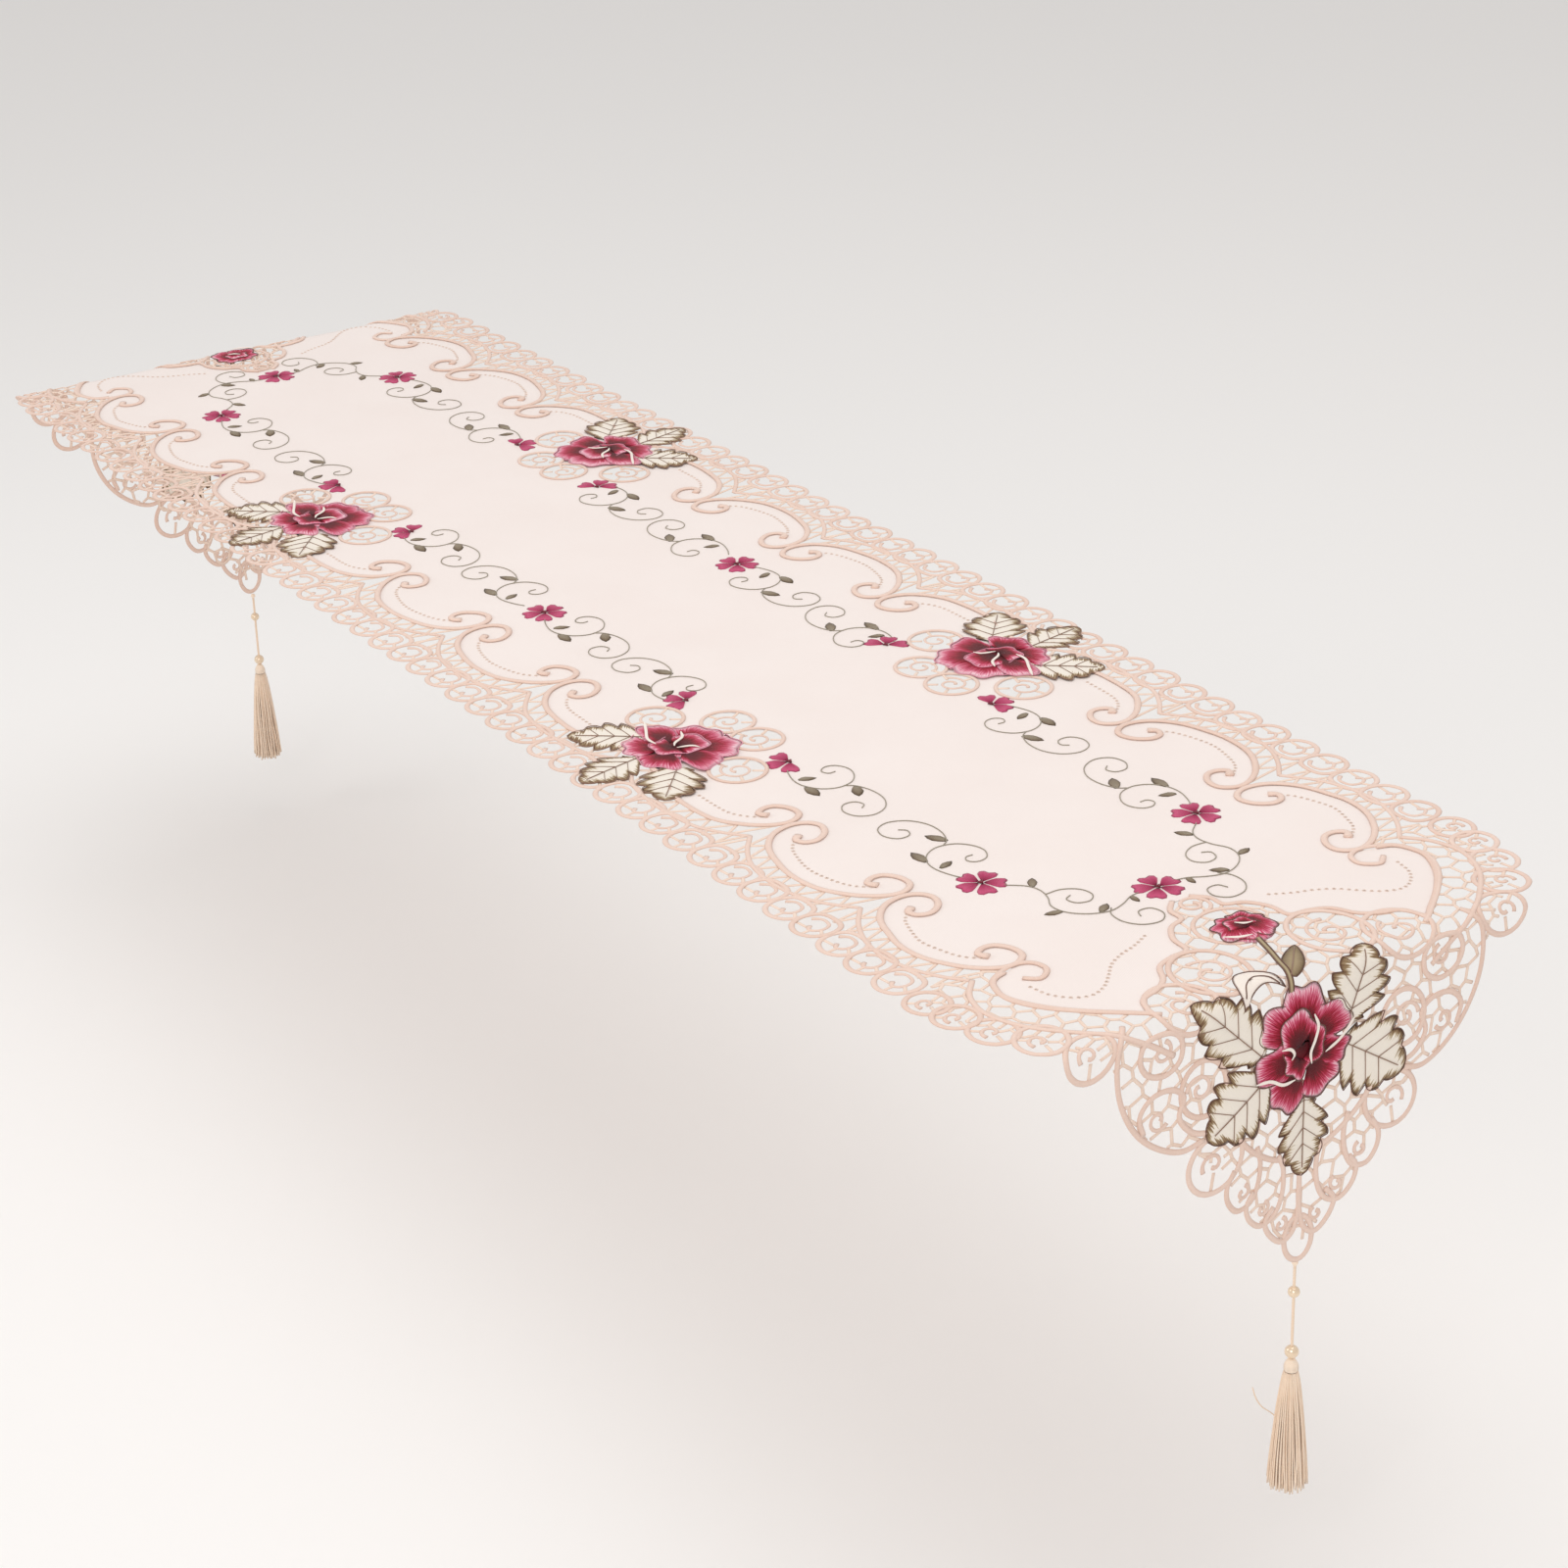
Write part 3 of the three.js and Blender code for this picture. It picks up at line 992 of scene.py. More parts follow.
    def end_cords(self) -> list[tuple[np.ndarray, bool]]:
        """Heavy cords of one half of an end, each with whether it is closed."""
        scroll = [(622, 128), (628, 120), (621, 111), (611, 113), (607, 122), (610, 134)]
        scroll += [(618, 145), (636, 149), (655, 140), (672, 124), (687, 106), (698, 92)]
        band = [(609, 152), (624, 164), (645, 168), (668, 159)]
        band += [(690, 139), (706, 119), (716, 104), (726, 90)]
        shoulder = [(697, 118), (713, 127), (734, 128), (752, 123)]
        shoulder += [(768, 113), (780, 99), (786, 84), (783, 70)]
        swirl = [(768, 110), (756, 113), (747, 105), (746, 92), (753, 83), (765, 86), (776, 78), (780, 66)]
        valley = [(783, 52), (800, 38), (812, 22), (817, 8), (818, 0)]
        brow = [(712, 108), (722, 113), (732, 108), (736, 96), (730, 86), (718, 85), (711, 93)]
        first = [(809, 49), (818, 54), (828, 53), (836, 46), (834, 36), (824, 31), (811, 30), (800, 33)]
        second = [(828, 34), (836, 39), (846, 36), (853, 27), (849, 17), (837, 12), (822, 12), (812, 16)]
        third = [(844, 18), (852, 24), (862, 20), (869, 11), (863, 3), (848, 0), (832, 0), (818, 1)]
        return [
            (curve(scroll), False),
            (curve(self.field_end()), False),
            (curve(band), False),
            (curve(shoulder), False),
            (curve(swirl), False),
            (curve(valley), False),
            (curve(first), False),
            (curve(second), False),
            (curve(third), False),
            (curve(brow, closed=True), True),
            (oval((695, 76), 22, 20, 0), True),
            (oval((676, 42), 26, 22, 10), True),
            (oval((752, 70), 17, 15, 0), True),
        ]

    def end_curls(self) -> list[np.ndarray]:
        """Finer curls inside the loops and rings of one half of an end."""
        curls = [
            spiral((695, 76), 13, 3, 200, 1.1),
            spiral((676, 42), 15, 3, 160, 1.2),
            spiral((752, 72), 9, 2, 90, 1.2),
            spiral((722, 98), 7, 2, 200, 1.0),
            spiral((762, 100), 7, 2, 300, 1.0),
            spiral((826, 42), 5, 1.5, 200, 0.9),
            spiral((843, 26), 5, 1.5, 200, 0.9),
            spiral((858, 12), 4.5, 1.5, 200, 0.9),
        ]
        for _, (u, v), size in self.end_loops():
            curls.append(spiral((u, v + size * 0.1), size * 0.45, size * 0.12, 60, 0.9))
        return curls

    def end_core(self) -> np.ndarray:
        """Region of one end's netting, inside its edge loops."""
        half = [(600, 176), (616, 186), (638, 183), (662, 176), (684, 161), (708, 144)]
        half += [(728, 128), (752, 122), (768, 112), (780, 98), (785, 84), (802, 62)]
        half += [(820, 50), (836, 42), (850, 29), (864, 15), (874, 3)]
        return np.array(half + [(u, -v) for u, v in reversed(half)], float)


@dataclass(frozen=True)
class Bloom:
    """A large appliquéd rose in its own frame: mm to the right of its heart and above it."""

    petals: tuple
    inner: tuple
    accents: tuple


HANGING_ROSE = Bloom(
    petals=(
        ((0, 4), ((-17, 17), (-16, 27), (-8, 36), (0, 34.5), (8, 33), (14, 26), (15, 16))),
        ((-4, 4), ((-14, -2), (-27, 5), (-31, 14), (-27, 24), (-18, 28), (-9, 23))),
        ((4, 2), ((8, 18), (20, 20), (29, 15), (35, 7), (31, -1), (18, -4))),
        ((-3, -12), ((-24, -16), (-25, -27), (-18, -36), (-9, -41), (-2, -40), (2, -32))),
        ((4, -12), ((0, -30), (4, -37), (14, -36), (24, -30), (27, -20), (20, -12))),
        ((6, -8), ((14, -22), (27, -20), (33, -12), (32, -6), (20, -2))),
        ((-4, -8), ((-12, 6), (-24, 2), (-32, -1), (-36, -8), (-32, -16), (-20, -20), (-10, -20))),
    ),
    inner=(
        ((-4, -2), ((-16, -4), (-17, 10), (-12, 19), (-4, 21), (5, 16), (7, 6))),
        ((4, -6), ((2, 14), (10, 10), (15, 0), (13, -10), (5, -15), (-1, -10))),
        ((-4, -8), ((-15, -2), (-14, -12), (-7, -20), (0, -20), (4, -12))),
    ),
    accents=(
        ((6, 16), (9, 8), (7, 0), (4, -7), (5, -14)),
        ((-17, 1), (-11, 0), (-8, -4), (-10, -7)),
        ((-35, -14), (-25, -15), (-16, -20), (-7, -20)),
        ((36, 6), (30, -1), (24, -6), (15, -10)),
    ),
)

LYING_ROSE = Bloom(
    petals=(
        ((0, 0), ((-27, 6), (-23, 20), (-12, 28), (0, 30), (10, 26))),
        ((5, 2), ((1, 29), (13, 32), (25, 26), (31, 14), (24, 5))),
        ((8, -6), ((13, 10), (27, 11), (36, 4), (40, -6), (30, -12), (16, -12))),
        ((-2, -12), ((-30, -17), (-26, -27), (-16, -34), (-6, -36), (0, -29))),
        ((4, -12), ((-2, -31), (5, -36), (15, -35), (24, -27), (29, -19), (17, -13))),
        ((-6, -6), ((-14, 4), (-26, 8), (-37, -1), (-41, -8), (-32, -14), (-17, -16))),
    ),
    inner=(
        ((0, -4), ((-13, -4), (-13, 9), (-3, 16), (8, 14), (14, 4), (12, -6))),
        ((2, -8), ((-14, -4), (-12, -16), (-2, -21), (8, -17), (12, -6))),
    ),
    accents=(
        ((-42, -3), (-30, -9), (-18, -15), (-8, -15)),
        ((-16, 8), (-8, 4), (-3, -4), (1, -7)),
        ((4, -7), (7, 2), (12, 5)),
    ),
)

OPENING_BUD = Bloom(
    petals=(
        ((2, 2), ((-16, -3), (-17, 6), (-10, 13), (-2, 15), (4, 12))),
        ((-2, 2), ((-1, 14), (7, 16), (14, 11), (17, 2), (13, -6))),
        ((1, 10), ((-14, 2), (-20, -5), (-15, -11), (-4, -15), (2, -12), (3, -4))),
        ((4, 9), ((0, -3), (1, -12), (9, -16), (16, -10), (18, -2), (14, 5))),
    ),
    inner=(((0, -4), ((-9, -2), (-9, 6), (-1, 10), (8, 6), (9, -2))),),
    accents=(((-19, -6), (-12, -11), (-4, -13)), ((-3, 4), (1, 0), (6, -1))),
)


# ------------------------------------------------------------------ sub-assemblies


@dataclass
class GroundCloth:
    """The solid ivory field, cut to the scrolls, with a row of pin-holes inside each scroll."""

    pattern: Pattern
    drape: Drape
    base: float = 0.25
    thickness: float = 0.6
    spacing: float = 7.0
    hole: float = 0.75
    hole_pitch: float = 4.2
    hole_sides: int = 6
    least_gap: float = 0.5

    def outline(self) -> np.ndarray:
        """Closed outline of the field in the flat pattern."""
        near = np.array(self.pattern.field_side() + self.pattern.field_end())
        quarter = curve(near, 4.0)
        half = np.vstack([quarter, (quarter * (1, -1))[::-1]])
        return np.vstack([half, -half])

    def trimmed(self) -> np.ndarray:
        """The outline without points that nearly meet."""
        outline = self.outline()
        gaps = np.linalg.norm(outline - np.roll(outline, 1, axis=0), axis=1)
        return outline[gaps > self.least_gap]

    def pin_holes(self) -> np.ndarray:
        """Middles of the pin-holes: an arc inside every scroll and a line round both ends."""
        joints = self.pattern.joints
        arcs = []
        for start, stop in zip(joints, joints[1:]):
            rise = [(start + 19, 132), (start + 27, 140), (start + 40, 145)]
            fall = [(stop - 40, 145), (stop - 27, 140), (stop - 19, 132)]
            if stop - start > self.pattern.long_scallop:
                arcs += [[*rise, (186, 146)], [(318, 146), *fall]]
            else:
                arcs.append([*rise, ((start + stop) / 2, 148), *fall])
        end = [(632, 130), (645, 127), (655, 119), (659, 109), (655, 98), (646, 88), (637, 79), (631, 68)]
        arcs.append(end + [(627, 56), (621, 44)])
        return np.vstack(mirrored(np.vstack([curve(arc, self.hole_pitch) for arc in arcs])))

    def windows(self) -> list[np.ndarray]:
        """Outlines of the cut windows inside the rings round the side roses."""
        made = []
        for u, v, radius in self.pattern.rose_rings:
            ring = oval((self.pattern.rose[0] + u, v), radius - 1.0, radius - 1.0)[:-1]
            made += [ring * signs for signs in ((1, -1), (-1, -1), (1, 1), (-1, 1))]
        return made

    def cut(self, outline: np.ndarray, holes: np.ndarray) -> tuple[np.ndarray, np.ndarray]:
        """Fills the outline with triangles, less its windows and its pin-holes.

        Args:
            outline: Corners of the cloth's edge.
            holes: Middles of the pin-holes.

        Returns:
            The flat points, and the three corners of each triangle.
        """
        windows = self.windows()
        angle = np.arange(self.hole_sides) * TAU / self.hole_sides
        rim = np.column_stack([np.cos(angle), np.sin(angle)]) * self.hole
        rings = [outline, *windows, *(middle + rim for middle in holes)]
        low, high = outline.min(0), outline.max(0)
        along = np.arange(low[0], high[0], self.spacing)
        across = np.arange(low[1], high[1], self.spacing)
        grid = np.array([(u, v) for u in along for v in across])
        grid = grid[inside(grid, outline)]
        points = [Vector(p) for p in np.vstack([*rings, grid])]
        edges = []
        first = 0
        for ring in rings:
            count = len(ring)
            edges += [(first + i, first + (i + 1) % count) for i in range(count)]
            first += count
        flat, _, faces, *_ = delaunay_2d_cdt(points, edges, [], 0, 1e-4)
        flat = np.array(flat)
        faces = np.array(faces)
        middles = flat[faces].mean(axis=1)
        kept = inside(middles, outline)
        for window in windows:
            kept &= ~inside(middles, window)
        for hole in holes:
            kept &= np.linalg.norm(middles - hole, axis=1) >= self.hole * 0.86
        return flat, faces[kept]

    def sewn(self, flat: np.ndarray, faces: np.ndarray, finish: bpy.types.Material) -> bpy.types.Object:
        """Lays the cut cloth on the table and gives it its thickness.

        Args:
            flat: Points of the flat cloth.
            faces: The three corners of each triangle.
            finish: The cloth's material.

        Returns:
            The cloth.
        """
        cloth = bmesh.new()
        heights = np.full((len(flat), 1), self.base)
        verts = [cloth.verts.new(p) for p in self.drape.place(np.hstack([flat, heights]))]
        for corners in faces:
            cloth.faces.new([verts[i] for i in corners])
        bmesh.ops.delete(cloth, geom=[v for v in cloth.verts if not v.link_faces], context="VERTS")
        bmesh.ops.recalc_face_normals(cloth, faces=cloth.faces)
        if sum(face.normal.z for face in cloth.faces) < 0:
            bmesh.ops.reverse_faces(cloth, faces=cloth.faces)
        mesh = bpy.data.meshes.new("ground_cloth_satin")
        cloth.to_mesh(mesh)
        cloth.free()
        mesh.materials.append(finish)
        mesh.polygons.foreach_set("use_smooth", np.ones(len(mesh.polygons), bool))
        piece = linked("ground_cloth_satin", mesh)
        wall = piece.modifiers.new("thickness", "SOLIDIFY")
        wall.thickness = self.thickness * MM
        wall.offset = 1.0
        piece.modifiers.new("flat shading at the edges", "WEIGHTED_NORMAL")
        return piece

    def build(self, finishes: Finishes) -> None:
        """Cuts, lays and finishes the cloth.

        Args:
            finishes: The runner's materials.
        """
        outline = self.trimmed()
        holes = self.pin_holes()
        flat, faces = self.cut(outline, holes)
        piece = self.sewn(flat, faces, finishes.satin)
        a, b, c = (flat[faces[:, i]] for i in range(3))
        sides = np.abs((b - a)[:, 0] * (c - a)[:, 1] - (b - a)[:, 1] * (c - a)[:, 0])
        self.eyelets(holes, finishes)
        self.drape.blend(piece, End.FAR)
        report(piece, ["ground_cloth"])

    def eyelets(self, holes: np.ndarray, finishes: Finishes) -> None:
        """Works a ring of stitches round every pin-hole.

        Args:
            holes: Middles of the pin-holes.
            finishes: The runner's materials.
        """
        quilt = Quilt("pin_hole_stitches", 5)
        angle = np.linspace(0, TAU, 9)
        ring = np.column_stack([np.cos(angle), np.sin(angle)]) * (self.hole + 0.2)
        for middle in holes:
            quilt.cord(ring + middle, 0.55, 0.4, self.base + self.thickness - 0.1, closed=True)
        piece = quilt.made([finishes.bar], self.drape)
        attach(piece, "root")
        report(piece)


@dataclass
class Lace:
    """The cutwork: heavy scroll cords, lighter loops and curls, and netting bars between them."""

    pattern: Pattern
    drape: Drape
    finishes: Finishes
    scroll_width: float = 4.2
    loop_width: float = 3.6
    ladder_width: float = 3.2
    ring_width: float = 2.8
    curl_width: float = 2.4
    bar_width: float = 2.3
    cord_height: float = 1.5
    tip_height: float = 1.3
    loop_height: float = 1.2
    bar_height: float = 0.9
    base: float = 0.35
    cell: float = 13.5
    cell_waver: float = 1.5
    columns: int = 9
    rungs: int = 17
    rung_pitch: float = 6.8
    rung_lean: float = 3.4
    ring_spokes: tuple = (20, 92, 164, 236, 308)
    loop_spokes: tuple = (10, 130, 250)

    def side(self, side: Side) -> None:
        """Builds the border along one long side.

        Args:
            side: The long side.
        """
        cords = Quilt(f"{side.label}_border_cords", self.columns)
        bars = Quilt(f"{side.label}_border_bars", self.columns)
        flip = np.array((1.0, side.value))
        joints = self.pattern.joints
        for way in (1, -1):
            turn = flip * (way, 1)
            for start, stop in zip(joints, joints[1:]):
                scroll = self.pattern.scroll(start, stop) * turn
                cords.cord(scroll, self.scroll_width, self.cord_height, self.base + 0.5, swollen=1.35)
                self.bars_outside(bars, cords, start, stop, turn)
            self.rose_rings(bars, cords, turn)
        self.side_loops(bars, cords, flip)
        nodes = [f"{side.label}_lace_border"]
        for quilt, finish, stands in ((cords, self.finishes.lace, nodes), (bars, self.finishes.bar, [])):
            piece = quilt.made([finish], self.drape)
            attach(piece, "root")
            report(piece, stands)

    def rose_rings(self, bars: Quilt, cords: Quilt, turn: np.ndarray) -> None:
        """Adds the cutwork rings beside one side rose.

        Args:
            bars: Quilt that takes their spokes.
            cords: Quilt that takes their cords.
            turn: Signs that bring the pattern to its quarter.
        """
        for u, v, radius in self.pattern.rose_rings:
            centre = (self.pattern.rose[0] + u, v)
            ring = oval(centre, radius, radius) * turn
            cords.cord(ring, self.ring_width, self.loop_height, self.base + 0.3, closed=True)
            curl = spiral(centre, radius * 0.62, radius * 0.15, 20 if u < 0 else 160, -1.3 if u > 0 else 1.3)
            cords.cord(curl * turn, 2.0, 0.9, self.base + 0.3, swollen=1.3)
            for degrees in self.ring_spokes:
                self.spoke(bars, centre, (radius, radius * 0.5), degrees, turn)

    def side_loops(self, bars: Quilt, cords: Quilt, flip: np.ndarray) -> None:
        """Adds the row of loops along one side's edge, with a curl and three short bars in each.

        Args:
            bars: Quilt that takes their bars.
            cords: Quilt that takes their cords.
            flip: Signs that bring the pattern to its side.
        """
        pitch = 2 * self.pattern.border_end / self.pattern.loops
        for i in range(self.pattern.loops):
            middle = self.pattern.border_end - (i + 0.5) * pitch
            lift = self.base + (0.35 if i % 2 else 0.0)
            loop = self.pattern.side_loop(middle) * flip
            cords.cord(loop, self.loop_width, self.loop_height, lift, closed=True)
            comma = ((-9, 181), (-4, 176.5), (4, 178), (6, 185), (2, 190), (-2, 187))
            curl = curve([(middle + u, v) for u, v in comma], 1.8) * flip
            cords.cord(curl, self.curl_width, 0.9, self.base + 0.1, swollen=1.35)
            for path in (((-11, 190), (-2, 189)), ((3, 197), (2, 189)), ((12, 188), (5, 184))):
                bar = curve([(middle + u, v) for u, v in path]) * flip
                bars.cord(bar, self.bar_width, 0.8, self.base)

    def bars_outside(self, bars: Quilt, cords: Quilt, start: float, stop: float, turn: np.ndarray) -> None:
        """Adds the ladder cord outside one scallop, its zigzag of bars and the bars out to the loops.

        Args:
            bars: Quilt that takes the bars.
            cords: Quilt that takes the ladder's cord.
            start: Where the scallop starts.
            stop: Where it ends.
            turn: Signs that bring the pattern to its quarter.
        """
        spans = [(start, stop)]
        if stop - start > self.pattern.long_scallop:
            spans = [(start, self.pattern.rose[0]), (self.pattern.rose[0], stop)]
        edge = np.array(self.pattern.field_side())
        for first, last in spans:
            ladder = self.pattern.ladder(first, last)
            cords.cord(ladder * turn, self.ladder_width, self.loop_height, self.base + 0.2)
            rungs = []
            for i, u in enumerate(np.linspace(first + 3, last - 3, self.rungs)):
                line = ladder if i % 2 else edge
                rungs.append((u, float(np.interp(u, line[:, 0], line[:, 1]))))
            for a, b in zip(rungs, rungs[1:]):
                bars.cord(curve([a, b], 2.6) * turn, self.bar_width, self.bar_height, self.base)
            for u in np.arange(first + 2, last, self.rung_pitch):
                low = float(np.interp(u, ladder[:, 0], ladder[:, 1]))
                if low < 168:
                    lean = self.rung_lean if int(u / self.rung_pitch) % 2 else -self.rung_lean
                    path = curve([(u, low), (u + lean, 173.5)], 2.6)
                    bars.cord(path * turn, self.bar_width, self.bar_height, self.base)

    def spoke(
        self,
        bars: Quilt,
        centre: Sequence[float],
        radii: tuple[float, float],
        degrees: float,
        turn: np.ndarray,
    ) -> None:
        """Adds a bar from a ring in towards its middle.

        Args:
            bars: Quilt that takes the bar.
            centre: The ring's middle.
            radii: How far out the bar starts and stops.
            degrees: Its direction from the middle.
            turn: Signs that bring the pattern to its quarter.
        """
        way = np.array((math.cos(math.radians(degrees)), math.sin(math.radians(degrees))))
        ends = np.array(centre) + np.outer(radii, way)
        bars.cord(curve(ends) * turn, self.bar_width, self.bar_height, self.base)

    def netting(self, region: np.ndarray, field: np.ndarray) -> list[np.ndarray]:
        """Honeycomb of bars over a region, less the ground cloth.

        Args:
            region: Corners of the region.
            field: Corners of the ground cloth.

        Returns:
            The middle lines of the bars.
        """
        side = self.cell / math.sqrt(3)
        low, high = region.min(0), region.max(0)
        lines = []
        for column in range(int((high[0] - low[0]) / (1.5 * side)) + 2):
            for row in range(int((high[1] - low[1]) / self.cell) + 2):
                u = low[0] + column * 1.5 * side
                middle = np.array((u, low[1] + (row + 0.5 * (column % 2)) * self.cell))
                angle = np.radians(np.arange(4) * 60)
                corners = middle + side * np.column_stack([np.cos(angle), np.sin(angle)])
                phase = corners @ np.array(((0.31, 0.17), (0.23, -0.29)))
                corners = corners + self.cell_waver * np.sin(phase)
                lines += [corners[i : i + 2] for i in range(3)]
        kept = []
        steps = np.linspace(0, 1, 7)[:, None]
        sampled = np.array([first + (last - first) * steps for first, last in lines])
        flat = sampled.reshape(-1, 2)
        held = (inside(flat, region) & ~inside(flat, field)).reshape(len(lines), -1)
        for points, shown in zip(sampled, held):
            if shown.sum() >= 3:
                where = np.flatnonzero(shown)
                kept.append(curve([points[where[0]], points[where[-1]]], 3.0))
        return kept

    def end(self, end: End, field: np.ndarray) -> None:
        """Builds all of one end's lace, from the table top down over the fold to the tip.

        Args:
            end: The end.
            field: Corners of the ground cloth.
        """
        cords = Quilt(f"{end.label}_end_cords", self.columns)
        bars = Quilt(f"{end.label}_end_bars", self.columns)
        way = np.full(2, float(end.value))
        for line in self.netting(self.pattern.end_core(), field):
            bars.cord(line * way, self.bar_width, self.bar_height, self.base)
        for half in (1, -1):
            turn = way * (1, half)
            for path, closed in self.pattern.end_cords():
                cords.cord(path * turn, self.loop_width, self.cord_height, self.base + 0.4, closed=closed)
            for i, (path, centre, size) in enumerate(self.pattern.end_loops()):
                lift = self.base + (0.4 if i % 2 else 0.1)
                cords.cord(path * turn, self.loop_width, self.tip_height, lift, closed=True)
                for degrees in self.loop_spokes:
                    self.spoke(bars, centre, (size, size * 0.35), degrees, turn)
            for path in self.pattern.end_curls():
                cords.cord(path * turn, self.curl_width, 1.0, self.base + 0.3, swollen=1.3)
        ring = oval((640, 2), 21, 22)
        cords.cord(ring * way, 3.0, self.tip_height, self.base + 0.3, closed=True)
        curl = spiral((607, 1), 11, 2.5, 0, 1.4)
        cords.cord(curl * way, 2.6, self.loop_height, self.base + 0.4, swollen=1.3)
        tip = oval((870, 0), 14, 9.5)
        cords.cord(tip * way, self.loop_width, self.tip_height, self.base + 0.2, closed=True)
        nodes = [f"{end.label}_end_lace", f"{end.label}_point_lace"]
        for quilt, finish, stands in ((cords, self.finishes.lace, nodes), (bars, self.finishes.bar, [])):
            piece = quilt.made([finish], self.drape)
            self.drape.blend(piece, end)
            report(piece, stands)


@dataclass(frozen=True)
class Blade:
    """Outline of one leaf in the flat pattern, row by row from its base to its tip.

    Attributes:
        base: Where it leaves its rose.
        along: Direction of its midrib.
        length: Length of its midrib.
        width: Its greatest width.
        t: Each row's share of the length.
        envelope: Each row's fullness, before the teeth.
        half: Each row's half width, with the teeth.
        sweep: How far its side leans towards the tip.
    """

    base: np.ndarray
    along: np.ndarray
    length: float
    width: float
    t: np.ndarray
    envelope: np.ndarray
    half: np.ndarray
    sweep: float

    @property
    def across(self) -> np.ndarray:
        """Direction square to its midrib."""
        return np.array((-self.along[1], self.along[0]))

    def edge(self, way: int) -> np.ndarray:
        """Draws one side of the leaf.

        Args:
            way: 1 or -1, for the side.

        Returns:
            Points of its edge from base to tip.
        """
        line = self.base + np.outer(self.t * self.length, self.along)
        line = line + np.outer(self.sweep * self.envelope * (1 - self.t), self.along)
        return line + np.outer(self.half * way, self.across)


@dataclass
class Applique:
    """Roses, buds and leaves worked in coloured thread and sewn over the lace.

    Attributes:
        drape: How the flat runner lies.
        finishes: The runner's materials.
        level: Height of the petals' underside.
        crown: Height of a petal or leaf.
        line: Width of the outlines.
        rim: Width over which a leaf darkens towards its edge.
        tooth: Depth of a leaf's teeth, as a share of its half width.
        lean: How far a leaf's sides lean to the tip, as a share of its length.
    """

    drape: Drape
    finishes: Finishes
    level: float = 1.9
    crown: float = 1.0
    line: float = 0.6
    rim: float = 12.0
    tooth: float = 0.34
    lean: float = 0.16

    def settled(self, piece: bpy.types.Object, node: str, end: End | None) -> None:
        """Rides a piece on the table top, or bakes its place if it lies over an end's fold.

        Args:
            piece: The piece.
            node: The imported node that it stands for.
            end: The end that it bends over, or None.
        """
        if end is None:
            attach(piece, "root")
        else:
            self.drape.blend(piece, end)
        report(piece, [node])

    def bloom(self, node: str, design: Bloom, heart: Points, turn: np.ndarray, end: End | None) -> None:
        """Works one rose or bud.

        Args:
            node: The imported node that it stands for.
            design: Its petals and accents.
            heart: Where its middle lies in the flat pattern.
            turn: Matrix from the design's frame to the flat pattern.
            end: The end that it bends over, or None.
        """
        quilt = Quilt(f"{node}_threads", 21)

        def laid(points: Points) -> np.ndarray:
            """Brings points of the design to the flat pattern."""
            return np.asarray(points, float) @ turn.T + np.asarray(heart, float)

        layers = [(petal, self.level + 0.12 * i) for i, petal in enumerate(design.petals)]
        layers += [(petal, self.level + 0.9 + 0.25 * i) for i, petal in enumerate(design.inner)]
        quilt.petal(laid((0, 0)), laid(oval((0, -2), 17, 17)), self.level - 0.2, self.crown, rows=7)
        for (base, edge), level in layers:
            quilt.petal(laid(base), laid(edge), level, self.crown, ruffle=1.4, rows=10)
            patch = quilt.patches[-1]
            rim = patch.points[len(patch.points) // 2, :, :2]
            quilt.cord(evened(rim, 1.4), self.line, 0.5, level + 0.1, finish=1)
        for accent in design.accents:
            top = self.level + self.crown + 0.9
            quilt.cord(curve(laid(accent), 1.4), 2.0, 0.8, top, swollen=0.4, finish=2)
        edging = self.finishes.outline if end else self.finishes.blush
        materials = [self.finishes.rose, edging, self.finishes.cream]
        self.settled(quilt.made(materials, self.drape), node, end)

    def leaf(
        self,
        node: str,
        base: Sequence[float],
        tip: Sequence[float],
        width: float,
        end: End | None,
        teeth: int = 4,
        small: bool = False,
    ) -> None:
        """Works one toothed leaf with its veins and outline.

        Args:
            node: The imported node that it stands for.
            base: Where it leaves its rose, in the flat pattern.
            tip: Its tip.
            width: Its greatest width.
            end: The end that it bends over, or None.
            teeth: Teeth along each side.
            small: Whether it is one of the small bud leaves, worked in one colour.
        """
        quilt = Quilt(f"{node}_threads", 17)
        base = np.asarray(base, float)
        along = np.asarray(tip, float) - base
        length = float(np.linalg.norm(along))
        t = np.linspace(0, 1, 8 * teeth + 5)
        envelope = np.sin(math.pi * np.clip(t * 0.95 + 0.04, 0, 1) ** 0.78) ** 0.7
        notch = (1 - np.mod(t * teeth + 0.84, 1.0)) ** 2
        half = width / 2 * envelope * (1 - (0.0 if small else self.tooth) * notch)
        half[0] = half[-1] = 0
        sweep = (0 if small else self.lean) * length
        blade = Blade(base, along / length, length, width, t, envelope, half, sweep)
        self.leaf_body(quilt, blade)
        self.leaf_veins(quilt, blade, () if small else (0.2, 0.4, 0.6))
        for way in (-1, 1):
            quilt.cord(evened(blade.edge(way), 1.2), self.line, 0.6, self.level, finish=1)
        inner = self.finishes.bud if small else self.finishes.leaf
        edging = self.finishes.outline if end else self.finishes.vein
        piece = quilt.made([inner, edging, self.finishes.vein], self.drape)
        self.settled(piece, node, end)

